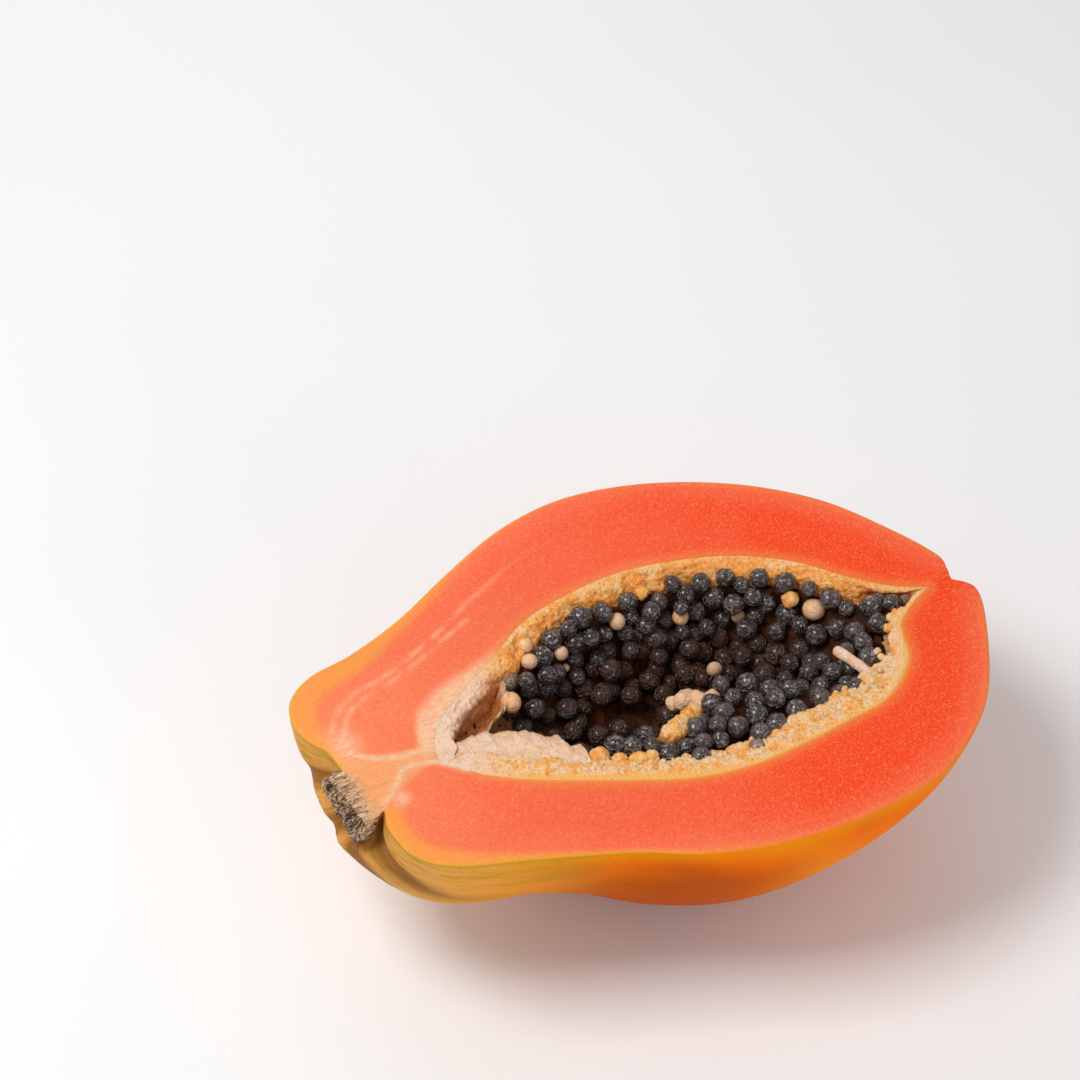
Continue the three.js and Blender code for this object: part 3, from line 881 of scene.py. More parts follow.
@dataclass
class Fruit:
    """The skin, the cut face and the cavity wall, as one closed shell.

    A furrow is its angle, depth and width in degrees. The socket under the stalk is its middle in y, half
    its width, its far end in x and its depth. Strands and veins are lines of x and y on the cut face.
    """

    rows: int = 230
    columns: int = 130
    wall_columns: int = 24
    rounding: float = 0.45
    furrows: tuple = ((36, 2, 8), (66, 0.8, 8), (98, 1.2, 9), (139, 1.2, 8))
    furrow_centre: float = 3.4
    furrow_spread: float = 2.0
    rib_height: float = 0.006
    ring_shares: tuple = (0.004, 0.012, 0.028, 0.05)
    ring_count: int = 40
    socket: tuple = (-1.5, 6.2, 1.8, 1.7)
    socket_slopes: tuple = (3.2, 0.8)
    strand_far: tuple = (
        (1, 12.5), (4.7, 9.9), (9.2, 7.5), (14.1, 6), (18.3, 6.1), (22, 7.2), (26.8, 11), (33, 17),
    )
    strand_near: tuple = (
        (2.9, -6.1), (6.3, -3.9), (9.2, -0.8), (11.5, 2), (14.6, 2.6), (17.9, 2.1), (20.7, 1), (27, -4.6),
    )
    vein_outer: tuple = (
        (-0.6, 20), (1.6, 23.5), (5, 26.9), (10.3, 29.8), (17.8, 31), (24.4, 33.4), (34.7, 37.7),
        (49.6, 45.7), (66, 53), (84, 56),
    )
    vein_inner: tuple = ((2.8, 18.4), (4.6, 22.1), (7.8, 25.6), (13.1, 27.8), (19.8, 29.1), (30, 33), (46, 40))

    def skin(self, along: Array, angle: Array) -> tuple[Array, Array, Array]:
        """Return the skin's points, how deep each lies in a furrow and how near to the stem.

        x grows by each furrow's depth * bell(station - centre, spread) * bell(angle - its angle, its
        width). Then y and z grow by 1 + rib_height * sin(pi along) * sin(angle) ** 2 * cos(5 angle). Last,
        each point moves inwards by sin(angle) ** 2 times noise: fine creases near the stem hollow and broad
        shallow dents elsewhere.
        """
        points = SKIN.points(along, angle)
        close = bell(along * (len(SKIN.near) - 1) - self.furrow_centre, self.furrow_spread)
        fold = np.zeros(points.shape[:-1])
        for at, depth, width in self.furrows:
            dip = bell(angle - at, width)
            points[..., 0] += depth * close * dip
            fold = fold + dip
        turn = np.radians(angle)
        ribs = self.rib_height * np.sin(np.pi * along) * np.sin(turn) ** 2 * np.cos(5 * turn)
        points[..., 1:] *= (1 + ribs)[..., None]
        stripes = np.stack([angle * 0.35, along * 22, along * 0], axis=-1)
        foot = 1 - ease(along * (len(SKIN.near) - 1), 3.5, 9)
        crease = (0.1 - 0.11 * noise(stripes, 1.0, 5, 3)) * foot
        dents = (0.3 - 0.3 * noise(points, 24, 8, 2)) * ease(along, 0.02, 0.2) * ease(along, 1.0, 0.9)
        sunk = np.maximum(crease + dents, 0) * np.sin(turn) ** 2
        return points + facing(points, INSIDE) * sunk[..., None], np.clip(fold, 0, 1), foot

    def make(self) -> bpy.types.Object:
        """Build the shell and its marks.

        Returns:
            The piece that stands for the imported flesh.
        """
        piece = Piece("papaya_half")
        steps, turns = np.linspace(0, 1, self.rows + 1), np.linspace(0, 180, self.columns + 1)
        along, angle = np.meshgrid(steps, turns, indexing="ij")
        outer, fold, foot = self.skin(along, angle)
        sunk = self.rounding * np.minimum(1, girth(outer) / 10)
        outer[..., 2] = np.clip(outer[..., 2], GROUND.lowest(), -sunk)
        wall_along, wall_angle = along[:, : self.wall_columns + 1], np.linspace(0, 180, self.wall_columns + 1)
        inner = HOLLOW.inside(0.0, wall_along, np.broadcast_to(wall_angle, wall_along.shape))
        start, end = rim_loop(outer), rim_loop(inner)
        shares = [*self.ring_shares, *np.linspace(0.08, 0.99, self.ring_count)]
        rings = [self.ring(start, end, share) for share in shares]
        numbers = make_bowl(piece, outer, rings, inner, (0, 1, 1))
        numbers["face"] = np.vstack([rim_loop(numbers["outer"]), numbers["rings"], rim_loop(numbers["inner"])])
        marks = self.marks(piece.points(), numbers)
        skin = numbers["outer"].ravel()
        marks["fold"][skin], marks["foot"][skin] = fold.ravel(), foot.ravel()
        marks["stripe"][skin] = np.stack([angle.ravel() * 0.32, along.ravel() * 14, 0 * fold.ravel()], axis=-1)
        length = np.linalg.norm(np.diff((start + end) / 2, axis=0), axis=1)
        length = np.broadcast_to(np.concatenate([[0], np.cumsum(length)]), numbers["face"].shape).ravel()
        face = numbers["face"].ravel()
        marks["thread"][face] = np.stack([length, marks["skin_mm"][face], 0 * length], axis=-1)
        return piece.build(Part.FLESH, [RindFinish().make(), FleshFinish().make()], marks, 50)

    def ring(self, start: Array, end: Array, share: float) -> Array:
        """Return one loop across the cut face, level but for its rounded outer edge and the stalk's socket.

        It is start + (end - start) * share. Near the skin its height is that of the skin's edge times
        (1 - share / 0.028) squared. Under the stalk it drops by the socket's depth, over the two slopes.
        """
        loop = blend(start, end, share)
        loop[:, 2] = start[:, 2] * max(0.0, 1 - share / self.ring_shares[2]) ** 2
        side, width, end_x, depth = self.socket
        slope_x, slope_y = self.socket_slopes
        within = ease(np.abs(loop[:, 1] - side), width, width - slope_y)
        loop[:, 2] -= depth * (ease(loop[:, 0], end_x, end_x - slope_x) * within)
        return loop

    def marks(self, points: Array, numbers: dict) -> dict[str, Array]:
        """Return the values that the finishes read at each point.

        Args:
            points: all the points, in mm.
            numbers: the point numbers of the shell's parts.

        Returns:
            Values by name.
        """
        face, wall = (numbers[key].ravel() for key in ("face", "inner"))
        names = ("skin_mm", "rim_mm", "edge_mm", "core", "strand", "vein", "inside", "near", "fold", "foot")
        marks = {name: np.zeros(len(points)) for name in names}
        marks.update({name: np.zeros((len(points), 3)) for name in ("stripe", "thread")})
        marks["x_mm"] = points[:, 0]
        marks["drop"] = np.clip(-points[:, 2] / 55, 0, 1)
        cut = points[face]
        x, y = cut[:, 0], cut[:, 1]
        outline, rim = (rim_loop(points[numbers[key]])[:, :2] for key in ("outer", "inner"))
        halves = outline[: self.rows], outline[self.rows + 1 :]
        near_half, far_half = (half[np.abs(half[:, 1] + 0.5) > 9] for half in halves)
        marks["skin_mm"][wall] = 30
        marks["skin_mm"][face] = np.minimum(away_from(cut, near_half), away_from(cut, far_half))
        marks["rim_mm"][face] = away_from(cut, np.vstack([rim, rim[:1]])) + 6 * (1 - ease(x, 14, 30))
        # painted shade on the cavity wall, full from 0.9 mm below the cut
        marks["inside"][wall] = ease(-points[wall, 2], 0.1, 0.9)
        marks["near"][face] = ease(y, 10, -20)
        shoulder = ease(y, 14, 30) * (1 - ease(x, 4, 36))
        marks["edge_mm"][face] = 0.5 + 4.2 * shoulder + 1.8 * (1 - ease(x, 30, 80)) * ease(y, 0, 10)
        marks["edge_mm"][face] += 3.6 * (1 - ease(x, 8, 40)) * ease(y, 0, -8)
        middle = np.interp(x, (2, 10, 22), (1.5, 3, 4.2))
        half = np.interp(x, (2, 10, 20, 24), (8.4, 5.2, 2.4, 2.6))
        marks["core"][face] = (1 - ease(np.abs(y - middle), half - 1.4, half + 1.4)) * (1 - ease(x, 20, 27))
        strands = [bell(away_from(cut, np.array(line)), 0.9) for line in (self.strand_far, self.strand_near)]
        patch = 0.9 * bell(np.hypot(x - 1.5, (y - 15.2) * 0.75), 3.6)
        blob = 0.85 * bell(np.hypot(x - 7.8, y + 5.8), 2.4)
        width = np.interp(x, (16, 22, 30, 38, 50), (3, 6.8, 6.2, 4, 1.4))
        sheet = 1 - ease(away_from(cut, rim), width - 3.2, width + 1.2)
        sheet = sheet * ease(y, 2, 6) * ease(x, 12, 19) * ease(x, 54, 42)
        marks["strand"][face] = np.maximum.reduce([*strands, patch, blob, sheet])
        veins = [bell(away_from(cut, np.array(line)), 0.75) for line in (self.vein_outer, self.vein_inner)]
        marks["vein"][face] = np.maximum(*veins) * ease(x, 84, 30)
        return marks


@dataclass
class Lining:
    """The spongy seed-bearing layer, with the torn membrane, bulbs, crumbs and threads that grow from it.

    A bulb is its centre and radius. The strip, the sprout, the fingers and the sheet's two sides are paths
    of points. Grids are counts of points, lengthwise and across.
    """

    rows: int = 400
    outer_columns: int = 12
    fine_step: float = 0.38
    coarse_step: float = 1.3
    edge: float = -0.03
    thinned: float = 0.72
    mound_grid: tuple = (120, 50)
    sheet_grid: tuple = (80, 58)
    sheet_sag: float = 5.6
    sheet_thickness: float = 0.45
    cord_grid: tuple = (49, 22)
    bulb_columns: int = 24
    crumb_columns: int = 10
    crumbs: int = 150
    bulbs: tuple = (
        (59.8, -12.9, -2.8, 2.9), (63.8, -15.6, -2.6, 2.0), (68.4, -18.0, -2.6, 2.4), (71.6, -18.4, -2.4, 1.8),
        (92.6, 2.4, -14.8, 2.9), (93.6, -0.9, -11.6, 2.7), (90.2, 1.0, -12.4, 2.5), (96.8, -1.9, -11.6, 2.4),
        (88.0, 2.6, -14.0, 2.0), (127.6, 14.4, -4.6, 2.5),
        (147.4, -4.6, -1.4, 1.4), (149.4, -3.4, -1.2, 1.1), (145.4, -7.2, -1.5, 1.5),
        (95.0, -28.4, -1.6, 1.3), (92.4, 31.4, -3.0, 1.9), (46.4, 24.6, -2.2, 1.6), (50.0, 27.0, -2.4, 1.8),
    )
    strip: tuple = ((77, -14.6, -4.0), (80, -12.8, -4.0), (84, -11.0, -4.6), (88, -8.6, -5.8), (92, -5, -8.4))
    sprout: tuple = (
        (135.2, -24.0, -2.6), (134.4, -20.8, -1.9), (133.3, -16.8, -1.6), (131.6, -12.2, -1.5),
        (129.4, -7.2, -1.7),
    )
    fingers: tuple = (
        ((122.5, -24.5, -2.4), (122.0, -22.0, -1.5), (123.6, -19.6, -2.2)),
        ((126.5, -25.5, -1.6), (124.8, -22.6, -1.1), (126.2, -19.4, -2.0)),
        ((112.0, -27.5, -1.8), (115.0, -26.0, -1.2), (118.0, -26.2, -1.8)),
        ((131.0, -24.6, -1.6), (130.0, -21.4, -1.2), (131.6, -18.4, -2.2)),
    )
    torn_side: tuple = (
        (24.0, 8.6, -2.4), (27, 11.4, -1.5), (30.6, 14.2, -1.3), (34.6, 17.2, -1.1), (38.4, 20.4, -1.2),
        (42, 22.4, -1.6),
    )
    free_side: tuple = (
        (31, 6.0, -9), (35.5, 8.0, -7.0), (39.5, 9.6, -5.8), (44.4, 11.8, -4.4), (46.4, 15, -3.4),
        (47, 19.5, -2.6),
    )

    def make(self) -> bpy.types.Object:
        """Build the layer with what grows from it.

        Returns:
            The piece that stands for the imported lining.
        """
        piece = Piece("seed_lining")
        rows = np.linspace(0, 1, self.rows + 1)
        along, angle = np.meshgrid(rows, self.columns(), indexing="ij")
        inner, pit, thickness = self.surface(along, angle)
        out_along, out_angle = np.meshgrid(rows, np.linspace(0, 180, self.outer_columns + 1), indexing="ij")
        outer = HOLLOW.inside(0.04, out_along, out_angle)
        outer[..., 2] = np.minimum(outer[..., 2], self.edge)
        lip = blend(rim_loop(outer), rim_loop(inner), 0.05)
        numbers = make_bowl(piece, outer, [lip], inner, (0, 0, 0))
        marks = self.marks(piece, numbers, angle, pit, thickness)
        self.grow(piece, marks)
        joined = {name: np.concatenate(parts) for name, parts in marks.items()}
        return piece.build(Part.LINING, [LiningFinish().make()], joined)

    def obstacles(self) -> Array:
        """Return balls that the seeds keep clear of, as rows of x, y, z and radius.

        They are the bulbs at 0.8 of their radius, and balls along the strip and the sprout.
        """
        share = np.linspace(0, 1, 9)
        cords = [np.column_stack([through(path, share), np.full(9, reach)]) for path, reach in
                 ((self.strip, 1.3), (self.sprout, 0.9))]
        return np.vstack([np.array(self.bulbs) * np.array([1, 1, 1, 0.8]), *cords])

    def columns(self) -> Array:
        """Return angles spaced evenly on the layer's section, fine_step mm apart at the rims, wider below."""
        dense = np.linspace(0, 180, 1801)
        section = HOLLOW.inside(HOLLOW.lining(dense), np.full_like(dense, HOLLOW.widest), dense)
        middle = (section[1:] + section[:-1]) / 2
        step = blend(self.fine_step, self.coarse_step, ease(-middle[:, 2], 5, 13))
        total = np.concatenate([[0], np.cumsum(np.linalg.norm(np.diff(section, axis=0), axis=1) / step)])
        return np.interp(np.linspace(0, total[-1], int(total[-1]) + 1), total, dense)

    def surface(self, along: Array, angle: Array) -> tuple[Array, Array, Array]:
        """Return the layer's inner surface, how deep its points lie between grains and its thickness.

        It is the cavity wall moved in by the lining's thickness, which thins by the share thinned towards
        the blossom end. It is then moved out along its normal by lumps of 2.8 mm, grains of 1.4 mm and
        crumbs of 0.8 mm. On the near side of the blossom half, combs that run down the wall take the place
        of the grains. All of it fades towards the smooth lip at the flesh.
        """
        x = CAVITY.points(along, angle)[..., 0]
        thickness = HOLLOW.lining(angle) * (1 - self.thinned * ease(x, 138, 149))
        wave = 1 + 0.16 * noise(np.stack([x, angle * 0.2, angle * 0], axis=-1), 7, 3, 2)
        below = np.minimum(angle, 180 - angle)
        points = HOLLOW.inside(thickness * blend(1, wave, ease(below, 0.5, 3)), along, angle)
        lumps, grains, crumb = granules(points, 2.8, 1), granules(points, 1.4, 4), granules(points, 0.8, 6)
        combs = granules(np.stack([x, thickness * 0.32, angle * 0], axis=-1), 1.5, 8)
        grains = blend(grains, combs, ease(x, 94, 108) * ease(angle, 60, 30))
        height = 0.8 * lumps + 0.7 * grains + 0.35 * crumb
        close = np.maximum(ease(x, 70, 100), ease(angle, 60, 120))
        rough = ease(thickness, blend(1.2, 0.6, close), blend(3.0, 1.6, close))
        rough = rough * ease(along, 0.0, 0.05) * ease(along, 1.0, 0.95)
        lift = (1.2 * height - 0.75 - 0.45 * ease(below, 7, 1) + 0.3 * noise(points, 4.5, 2)) * rough
        points = points + facing(points, INSIDE) * lift[..., None]
        points[..., 2] = np.minimum(points[..., 2], self.edge)
        return points, np.clip(1.25 - height, 0, 1) * rough, thickness

    def marks(
        self, piece: Piece, numbers: dict, angle: Array, pit: Array, thickness: Array
    ) -> dict[str, list[Array]]:
        """Return the values that the finish reads at each point of the layer, as lists to be joined.

        Args:
            piece: the piece with the layer's points.
            numbers: the point numbers of the layer's parts.
            angle: the inner grid's angles.
            pit: how deep its points lie between grains.
            thickness: how thick the layer is there, in mm.

        Returns:
            Lists of values by name.
        """
        points = piece.points()
        inner, rim = numbers["inner"].ravel(), numbers["rings"].ravel()
        names = ("lip", "pit", "warm", "curl", "pale", "shade", "dark", "slot", "rim_mm")
        marks = {name: np.zeros(len(points)) for name in names}
        below = np.minimum(angle, 180 - angle).ravel()
        x, y, z = points[inner].T
        far = ease(y, -5, 8)
        thin = np.maximum(far, ease(x, 70, 100))
        lip = 1 - ease(thickness.ravel(), 1.4 - thin, 3.4 - 1.8 * thin)
        marks["lip"][inner] = lip * ease(x, 26, 44) * (1 - 0.8 * far)
        for edge in (rim, numbers["outer"].ravel()):
            side = ease(points[edge, 1], -5, 8)
            marks["lip"][edge] = ease(points[edge, 0], 26, 44) * (1 - 0.8 * side)
            marks["pale"][edge] = ease(points[edge, 0], blend(40, 50, side), blend(26, 36, side))
        marks["pit"][inner] = pit.ravel()
        marks["warm"][inner] = far
        marks["rim_mm"][inner] = below
        marks["curl"][inner] = ease(x, 132, 142) * (1 - far) * ease(below, 9, 5)
        marks["pale"][inner] = ease(x, blend(40, 50, far), blend(26, 36, far))
        # painted shade: darker where the cavity deepens below the cut
        deep = ease(z, -3.2, -9)
        marks["shade"][inner] = ease(z, -0.5 + 0.3 * far, -3.4 + 0.8 * far) * ease(x, 52, 44) * 0.9
        marks["dark"][inner] = np.maximum(deep * ease(x, 42, 52), ease(z, -12, -18))
        # painted shade deep in the slot
        marks["slot"][inner] = ease(x, 143, 148) * ease(z, -0.6, -1.8)
        return {name: [values] for name, values in marks.items()}

    def grow(self, piece: Piece, marks: dict[str, list[Array]]) -> None:
        """Add the membrane, the bulbs, the strip, the fingers, the sprout and the crumbs, each closed."""

        def note(before: int, **values: Any) -> None:
            """Give the points added since then their values, 0 where none is named."""
            for name, parts in marks.items():
                value = np.asarray(values.get(name, 0.0), float).ravel()
                parts.append(np.broadcast_to(value, (piece.count - before,)))

        for add in (self.mound, self.curtain):
            before = piece.count
            pale, shade, pit = add(piece)
            note(before, pale=pale, shade=shade, pit=pit)
        for x, y, z, radius in self.bulbs:
            before = piece.count
            self.ball(piece, np.array([x, y, z]), radius, self.bulb_columns)
            note(before, lip=0.2, pale=0.9 if z < -10 else 0.0, warm=-0.6 if y < -20 else 0.6)
        before = piece.count
        self.cord(piece, self.strip, (2.0, 3.0, 2.6, 2.5, 1.8), 0.9)
        for path in self.fingers:
            self.cord(piece, path, (0.7, 1.1, 1.0, 0.8), 0.35)
        note(before, warm=0.5)
        before = piece.count
        self.cord(piece, self.sprout, (2.8, 1.8, 1.5, 1.4, 1.6), 0.14)
        note(before, pale=1.0)
        random = np.random.default_rng(5)
        before = piece.count
        for share, angle, radius in zip(*(random.random(self.crumbs) for _ in range(3))):
            place = HOLLOW.inside(blend(4.5, 9.0, angle), blend(0.3, 0.86, share), blend(2.0, 5.5, angle))
            self.ball(piece, place - np.array([0, 0, 0.1]), blend(0.45, 1.15, radius**2), self.crumb_columns)
        note(before, warm=-0.4)

    def ball(self, piece: Piece, centre: Array, radius: float, columns: int) -> None:
        """Add a lumpy ball: centre + radius * (1 + 0.22 noise) * the unit sphere, 0.85 as high as wide."""
        unit = unit_sphere(columns * 2 // 3 + 1, columns)
        lumpy = radius * (1 + 0.22 * noise(unit * 3 + centre, 2.4, 7, 2))[..., None]
        points = centre + unit * lumpy * np.array([1, 1, 0.85])
        points[..., 2] = np.minimum(points[..., 2], self.edge)
        piece.cover_ball(points)

    def cord(self, piece: Piece, path: tuple, radii: tuple, lumps: float) -> None:
        """Add a round cord along a path, with rounded ends and noise of the height lumps on it."""
        lengthwise, around = self.cord_grid
        share = np.linspace(0, 1, lengthwise)
        spine = through(path, share)
        radius = np.interp(share, np.linspace(0, 1, len(radii)), radii)
        radius = radius * np.sqrt(1 - np.abs(2 * share - 1) ** 12)
        ahead = np.gradient(spine, axis=0)
        ahead /= np.linalg.norm(ahead, axis=1, keepdims=True)
        side = np.cross(ahead, [0, 0, 1.0])
        side /= np.linalg.norm(side, axis=1, keepdims=True)
        over = np.cross(side, ahead)
        turn = np.linspace(0, 2 * np.pi, around, endpoint=False)
        ring = np.cos(turn)[None, :, None] * side[:, None] + np.sin(turn)[None, :, None] * over[:, None]
        points = spine[:, None] + ring * radius[:, None, None]
        lift = lumps * noise(points, 1.8, 9, 2) * np.minimum(1, radius)[:, None]
        points = points + ring * lift[..., None]
        points[..., 2] = np.minimum(points[..., 2], self.edge)
        points[0], points[-1] = points[0].mean(axis=0), points[-1].mean(axis=0)
        piece.cover_ball(points)

    def leaf(self, piece: Piece, top: Array, thickness: Array) -> None:
        """Add a closed leaf: a grid and the same grid lowered by its thickness, joined round the edge."""
        down = np.stack([0 * thickness, 0 * thickness, thickness], axis=-1)
        upper, lower = piece.add(top), piece.add(top - down)
        piece.skin_over(upper, flip=True)
        piece.skin_over(lower)
        piece.join_edges(upper, lower)

    def mound(self, piece: Piece) -> tuple[Array, Array, Array]:
        """Add the pale flap that covers the near stem end of the cavity.

        It runs from the lining out to a torn edge. Its height is 1.4 sin(pi v ** 0.8) - 1.2 v ** 3 - 2.1 mm
        with lumps.

        Returns:
            How pale and how shaded its points are, and how deep they lie between lumps.
        """
        u, v = np.meshgrid(*(np.linspace(0, 1, count) for count in self.mound_grid), indexing="ij")
        x = blend(23.0, 56.5, u)
        root = -1.6 - 0.52 * (x - 24) + 0.0018 * (x - 24) ** 2
        tear = noise(np.stack([x, x * 0, x * 0], axis=-1), 2.6, 12, 3)
        reach = np.maximum(7.2 + 1.4 * u - 16.2 * u**3 + 0.9 * tear, root + 1.2)
        points = np.stack([x + 0.9 * v * tear, blend(root, reach, v), 0 * x], axis=-1)
        points[..., 2] = -2.1 + 1.4 * np.sin(np.pi * v**0.8) - 1.2 * v**3
        lumps = 0.6 * granules(points, 2.6, 14) + 0.4 * granules(points, 1.2, 15)
        points[..., 2] += (lumps - 0.35 + 0.4 * noise(points, 5, 13, 2)) * ease(u, 0, 0.06)
        points[..., 2] = np.minimum(points[..., 2], self.edge)
        self.leaf(piece, points, 0.8 + 0.5 * ease(v, 0.7, 1.0) * (1 + tear))
        pale = (0.4 + 0.6 * ease(v, 0.03, 0.22)).ravel()
        pit = np.clip(0.75 - lumps, 0, 1).ravel() * 0.8
        return np.tile(pale, 2), np.tile(0.5 * ease(v, 0.9, 1.0).ravel(), 2), np.tile(pit, 2)

    def curtain(self, piece: Piece) -> tuple[Array, Array, Array]:
        """Add the curled sheet of membrane that stands over the far stem end of the cavity.

        It is ruled from a torn side on the lining to a free side over the hollow. It sags between them by
        sheet_sag * sin(pi v) ** 0.8 mm, less towards its two ends.

        Returns:
            How pale and how shaded its points are, and how deep they lie between lumps.
        """
        u, v = np.meshgrid(*(np.linspace(0, 1, count) for count in self.sheet_grid), indexing="ij")
        jag = noise(np.stack([u * 26, v * 0, v * 0], axis=-1), 1.6, 16, 3)[..., None]
        torn, free = through(self.torn_side, u), through(self.free_side, u)
        points = blend(torn + 0.7 * jag * (1 - v[..., None]), free + 0.8 * jag * v[..., None], v[..., None])
        lumps = 0.45 * granules(points, 2.0, 18) + 0.3 * granules(points, 0.9, 19)
        points[..., 2] -= self.sheet_sag * np.sin(np.pi * v) ** 0.8 * (0.35 + 0.65 * np.sin(np.pi * u) ** 0.7)
        points[..., 2] += (lumps - 0.3) * 1.2 + 0.5 * noise(points, 4, 17, 2)
        points[..., 2] = np.minimum(points[..., 2], self.edge)
        self.leaf(piece, points, np.full(u.shape, self.sheet_thickness))
        shade = ease(v, 0.02, 0.3) * ease(v, 1.0, 0.8) * ease(u, 1.0, 0.75) * 0.95
        pit = np.clip(0.6 - lumps, 0, 1) * 0.7
        return np.ones(2 * u.size), np.tile(shade.ravel(), 2), np.tile(pit.ravel(), 2)


@dataclass
class SeedMass:
    """Dark seeds on the cavity wall and in a pile on the near side, over a dark bed of painted shade.

    low and high are the least and greatest radius. A row of pale is a seed's centre, its radius, how
    straw-coloured it is and how pale. Grids are counts of points, from pole to pole or lengthwise, and
    round or across.
    """

    clear_of: Array
    seed_grid: tuple = (8, 12)
    bed_grid: tuple = (61, 49)
    tries: int = 36000
    low: float = 2.2
    high: float = 3.2
    closeness: float = 0.84
    top: float = -0.1
    pale: tuple = (
        (83.6, 27.5, -5.9, 2.3, 0.0, 1.0), (100.7, 24.5, -9.5, 2.3, 0.8, 1.0),
        (115.8, 20.3, -12.2, 1.9, 0.2, 1.0), (65.9, 24.2, -6.2, 2.1, 0.0, 1.0),
        (66.6, 23.0, -11.4, 1.1, 0.0, 1.0), (56.5, 23.5, -4.0, 2.2, 0.1, 1.0),
        (57.2, 28.2, -3.2, 2.5, 0.8, 1.0), (47.2, 14.4, -5.6, 2.7, 0.7, 1.0),
        (103.6, 9.6, -16.0, 2.0, 0.1, 0.9), (132.6, 10.2, -6.6, 2.9, 0.25, 1.0),
        (49.6, 21.4, -5.6, 3.0, 0.6, 0.3), (97.2, -27.2, -2.3, 2.5, 0.5, 0.3),
        (149.6, 5.4, -3.6, 2.4, 0.6, 0.28), (154.2, 0.2, -2.2, 1.6, 0.6, 0.35),
    )

    def make(self) -> bpy.types.Object:
        """Place and build the seeds with their bed.

        Returns:
            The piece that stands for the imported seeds.
        """
        random = np.random.default_rng(11)
        centres, radii, pale, straw = self.scatter(random)
        piece = Piece("seeds")
        sphere = unit_sphere(*self.seed_grid)
        stretch = random.uniform(0.92, 1.08, (len(centres), 1, 1, 3))
        spun = self.turned(sphere, random, len(centres)) * stretch
        lumps = noise(spun * 1.3 + centres[:, None, None], 1.0, 31, 1)
        lumps = 1 + 0.09 * lumps * (1 - pale[:, None, None] * 0.7)
        points = centres[:, None, None] + spun * (radii[:, None, None] * lumps)[..., None]
        points[..., 2] = np.minimum(points[..., 2], self.top)
        own = sphere[None] + random.uniform(-40, 40, (len(centres), 1, 1, 3))
        for seed in points:
            piece.cover_ball(seed)
        each = sphere.shape[0] * sphere.shape[1]
        before = piece.count
        self.add_shade_bed(piece)
        added = piece.count - before
        # depth below the cut, which sets the seeds' painted shade
        deep = ease(centres[:, 2], -9, -20)
        values = {"tone": random.random(len(centres)), "pale": pale, "straw": straw, "deep": deep}
        bed = np.zeros(added)
        marks = {name: np.concatenate([np.repeat(value, each), bed]) for name, value in values.items()}
        marks["own"] = np.vstack([own.reshape(-1, 3), piece.points()[before:] * 0.35])
        return piece.build(Part.SEEDS, [SeedFinish().make(), ShadeBedFinish().make()], marks)

    def scatter(self, random: np.random.Generator) -> tuple[Array, Array, Array, Array]:
        """Drop seeds at random places and keep those that clear the ones before.

        The listed pale seeds come first. Two seeds may stand closeness * (r1 + r2) apart. Noise in cells of
        12 mm leaves gaps between clumps, and fewer are dropped where the wall is close to the axis.

        Args:
            random: the seeded number source.

        Returns:
            Centres, radii, and how pale and how straw-coloured each is.
        """
        fixed = np.array(self.pale)
        centres = list(self.clear_of[:, :3]) + list(fixed[:, :3])
        radii = list(self.clear_of[:, 3]) + list(fixed[:, 3])
        skipped = len(self.clear_of)
        along, angle = random.uniform(0.18, 0.975, self.tries), random.uniform(2, 178, self.tries)
        share, keep, layer, size = (random.random(self.tries) for _ in range(4))
        around = CAVITY.points(along, angle)
        wall, surface = HOLLOW.lining(angle), HOLLOW.seed_bed(around[..., 0], angle)
        on_top = HOLLOW.inside(surface, along, angle)[..., 2] > -4.6
        sizes = blend(self.low, self.high, np.sqrt(size))
        beside = np.minimum(surface, wall + sizes + 0.2)
        second = layer > 0.6
        below = surface + 0.3 + second * blend(1.5, 4.0, share)
        inset = np.where(on_top, blend(beside, surface, share), below)
        places = HOLLOW.inside(inset, along, angle)
        level = np.where(second, -3.2, -4.8)
        places[..., 2] = np.where(on_top, np.maximum(places[..., 2], level), places[..., 2])
        places[..., 2] = np.minimum(places[..., 2], self.top - sizes * 0.92)
        kept = (keep < girth(around) / 34) & (noise(places, 12, 41, 1) > -0.5)
        kept = kept & (places[..., 0] > 47.0) & (places[..., 0] < 156)
        for place, size_mm in zip(places[kept], sizes[kept]):
            apart = np.linalg.norm(np.array(centres) - place, axis=1)
            if np.all(apart > self.closeness * (np.array(radii) + size_mm)):
                centres.append(place)
                radii.append(size_mm)
        LOG.info("seeds placed: %d", len(centres) - skipped)
        centres, radii = np.array(centres[skipped:]), np.array(radii[skipped:])
        pale, straw = np.zeros(len(centres)), np.zeros(len(centres))
        pale[: len(fixed)], straw[: len(fixed)] = fixed[:, 5], fixed[:, 4]
        return centres, radii, pale, straw

    def turned(self, sphere: Array, random: np.random.Generator, count: int) -> Array:
        """Return the sphere turned at random once for each seed, by random unit quaternions."""
        w, x, y, z = (q := random.normal(size=(count, 4))).T / np.linalg.norm(q, axis=1)
        turn = np.stack([
            np.stack([1 - 2 * (y * y + z * z), 2 * (x * y - z * w), 2 * (x * z + y * w)], axis=-1),
            np.stack([2 * (x * y + z * w), 1 - 2 * (x * x + z * z), 2 * (y * z - x * w)], axis=-1),
            np.stack([2 * (x * z - y * w), 2 * (y * z + x * w), 1 - 2 * (x * x + y * y)], axis=-1),
        ], axis=1)
        return np.einsum("nij,abj->nabi", turn, sphere)

